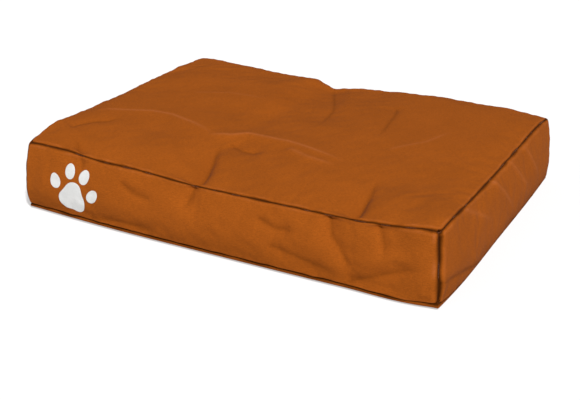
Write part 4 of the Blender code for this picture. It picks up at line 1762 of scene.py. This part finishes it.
class CUSHION_OT_stage(Operator):
    """Set the floor, the soft lights and the camera"""

    bl_idname = "cushion.stage"
    bl_label = "Stage"

    def execute(self, context):
        settings = context.scene.cushion_stage
        context.scene.view_settings.view_transform = "Standard"
        self.floor(settings)
        self.sky(settings)
        self.soft_sun("key_light", place=(0.62, -0.72, 1.12), strength=4.6, width=5.0)
        self.soft_sun("fill_light", place=(-0.60, -0.70, 0.60), strength=0.40, width=40.0)
        self.camera(settings)
        return {"FINISHED"}

    def floor(self, settings):
        """A wide floor, a hair below the cushion."""
        far, low = 30, -0.0004
        points = [(-far, -far, low), (far, -far, low), (far, far, low), (-far, far, low)]
        data = mesh_of("floor", points, [[0, 1, 2, 3]])
        nodes = Nodes("pale_floor")
        cloud = nodes.noise(nodes.object_place(), (3.0, 3.0, 3.0), 2.0)
        colour = nodes.shaded(tuple(settings.floor_colour), nodes.spread(cloud, 0.995, 1.0))
        glow = {"emission_strength": settings.floor_glow, "specular_ior_level": 0.0}
        nodes.shader.inputs["Emission Color"].default_value = (1.0, 1.0, 1.0, 1.0)
        data.materials.append(nodes.done(colour, 0.95, **glow))
        link("floor", data)

    def sky(self, settings):
        """Even white light from all round."""
        world = bpy.data.worlds.new("studio")
        world.use_nodes = True
        background = world.node_tree.nodes["Background"]
        background.inputs["Color"].default_value = (1.0, 1.0, 1.0, 1.0)
        background.inputs["Strength"].default_value = settings.sky
        bpy.context.scene.world = world

    def soft_sun(self, name, place, strength, width):
        """A broad light from one side, as wide in the sky as its width in degrees."""
        data = bpy.data.lights.new(name, "SUN")
        data.energy = strength
        data.angle = math.radians(width)
        light = link(name, data)
        light.location = place
        light.rotation_euler = (-light.location).to_track_quat("-Z", "Y").to_euler()

    def camera(self, settings):
        """The camera, turned round its target and rolled a little."""
        data = bpy.data.cameras.new("camera")
        data.lens = settings.lens
        data.clip_end = 100.0
        camera = link("camera", data)
        turn, tilt = settings.azimuth, settings.elevation
        level_reach = math.cos(tilt)
        back = Vector((math.sin(turn) * level_reach, -math.cos(turn) * level_reach, math.sin(tilt)))
        camera.location = Vector(settings.target) + settings.distance * back
        aim = (-back).to_track_quat("-Z", "Y")
        spin = Matrix.Rotation(settings.roll, 4, "Z").to_quaternion()
        camera.rotation_mode = "QUATERNION"
        camera.rotation_quaternion = aim @ spin
        bpy.context.scene.camera = camera


class CUSHION_PT_panel(Panel):
    """Lists the steps and sizes of the cushion"""

    bl_idname = "CUSHION_PT_panel"
    bl_label = "Pet Cushion"
    bl_space_type = "VIEW_3D"
    bl_region_type = "UI"
    bl_category = "Pet Cushion"

    def draw(self, context):
        for step in STEPS:
            self.layout.operator(step.bl_idname)
        for name, kind in SETTINGS.items():
            column = self.layout.column(heading=name)
            group = getattr(context.scene, name)
            for field in kind.__annotations__:
                column.prop(group, field)


SETTINGS = {
    "cushion_cover": CoverSettings,
    "cushion_zip": ZipSettings,
    "cushion_pad": PadSettings,
    "cushion_stage": StageSettings,
}
STEPS = (
    CUSHION_OT_cover,
    CUSHION_OT_seams,
    CUSHION_OT_paw_print,
    CUSHION_OT_zip,
    CUSHION_OT_slider,
    CUSHION_OT_inner_pad,
    CUSHION_OT_label,
    CUSHION_OT_stage,
)


def register():
    for kind in (*SETTINGS.values(), *STEPS, CUSHION_PT_panel):
        bpy.utils.register_class(kind)
    for name, kind in SETTINGS.items():
        setattr(bpy.types.Scene, name, PointerProperty(type=kind))


def unregister():
    for name in SETTINGS:
        delattr(bpy.types.Scene, name)
    for kind in reversed((*SETTINGS.values(), *STEPS, CUSHION_PT_panel)):
        bpy.utils.unregister_class(kind)


def main():
    """Builds the whole cushion and its stage."""
    register()
    bpy.ops.cushion.cover()
    bpy.ops.cushion.seams()
    bpy.ops.cushion.paw_print()
    bpy.ops.cushion.zip()
    bpy.ops.cushion.slider()
    bpy.ops.cushion.inner_pad()
    bpy.ops.cushion.label()
    bpy.ops.cushion.stage()


if __name__ == "__main__":
    main()
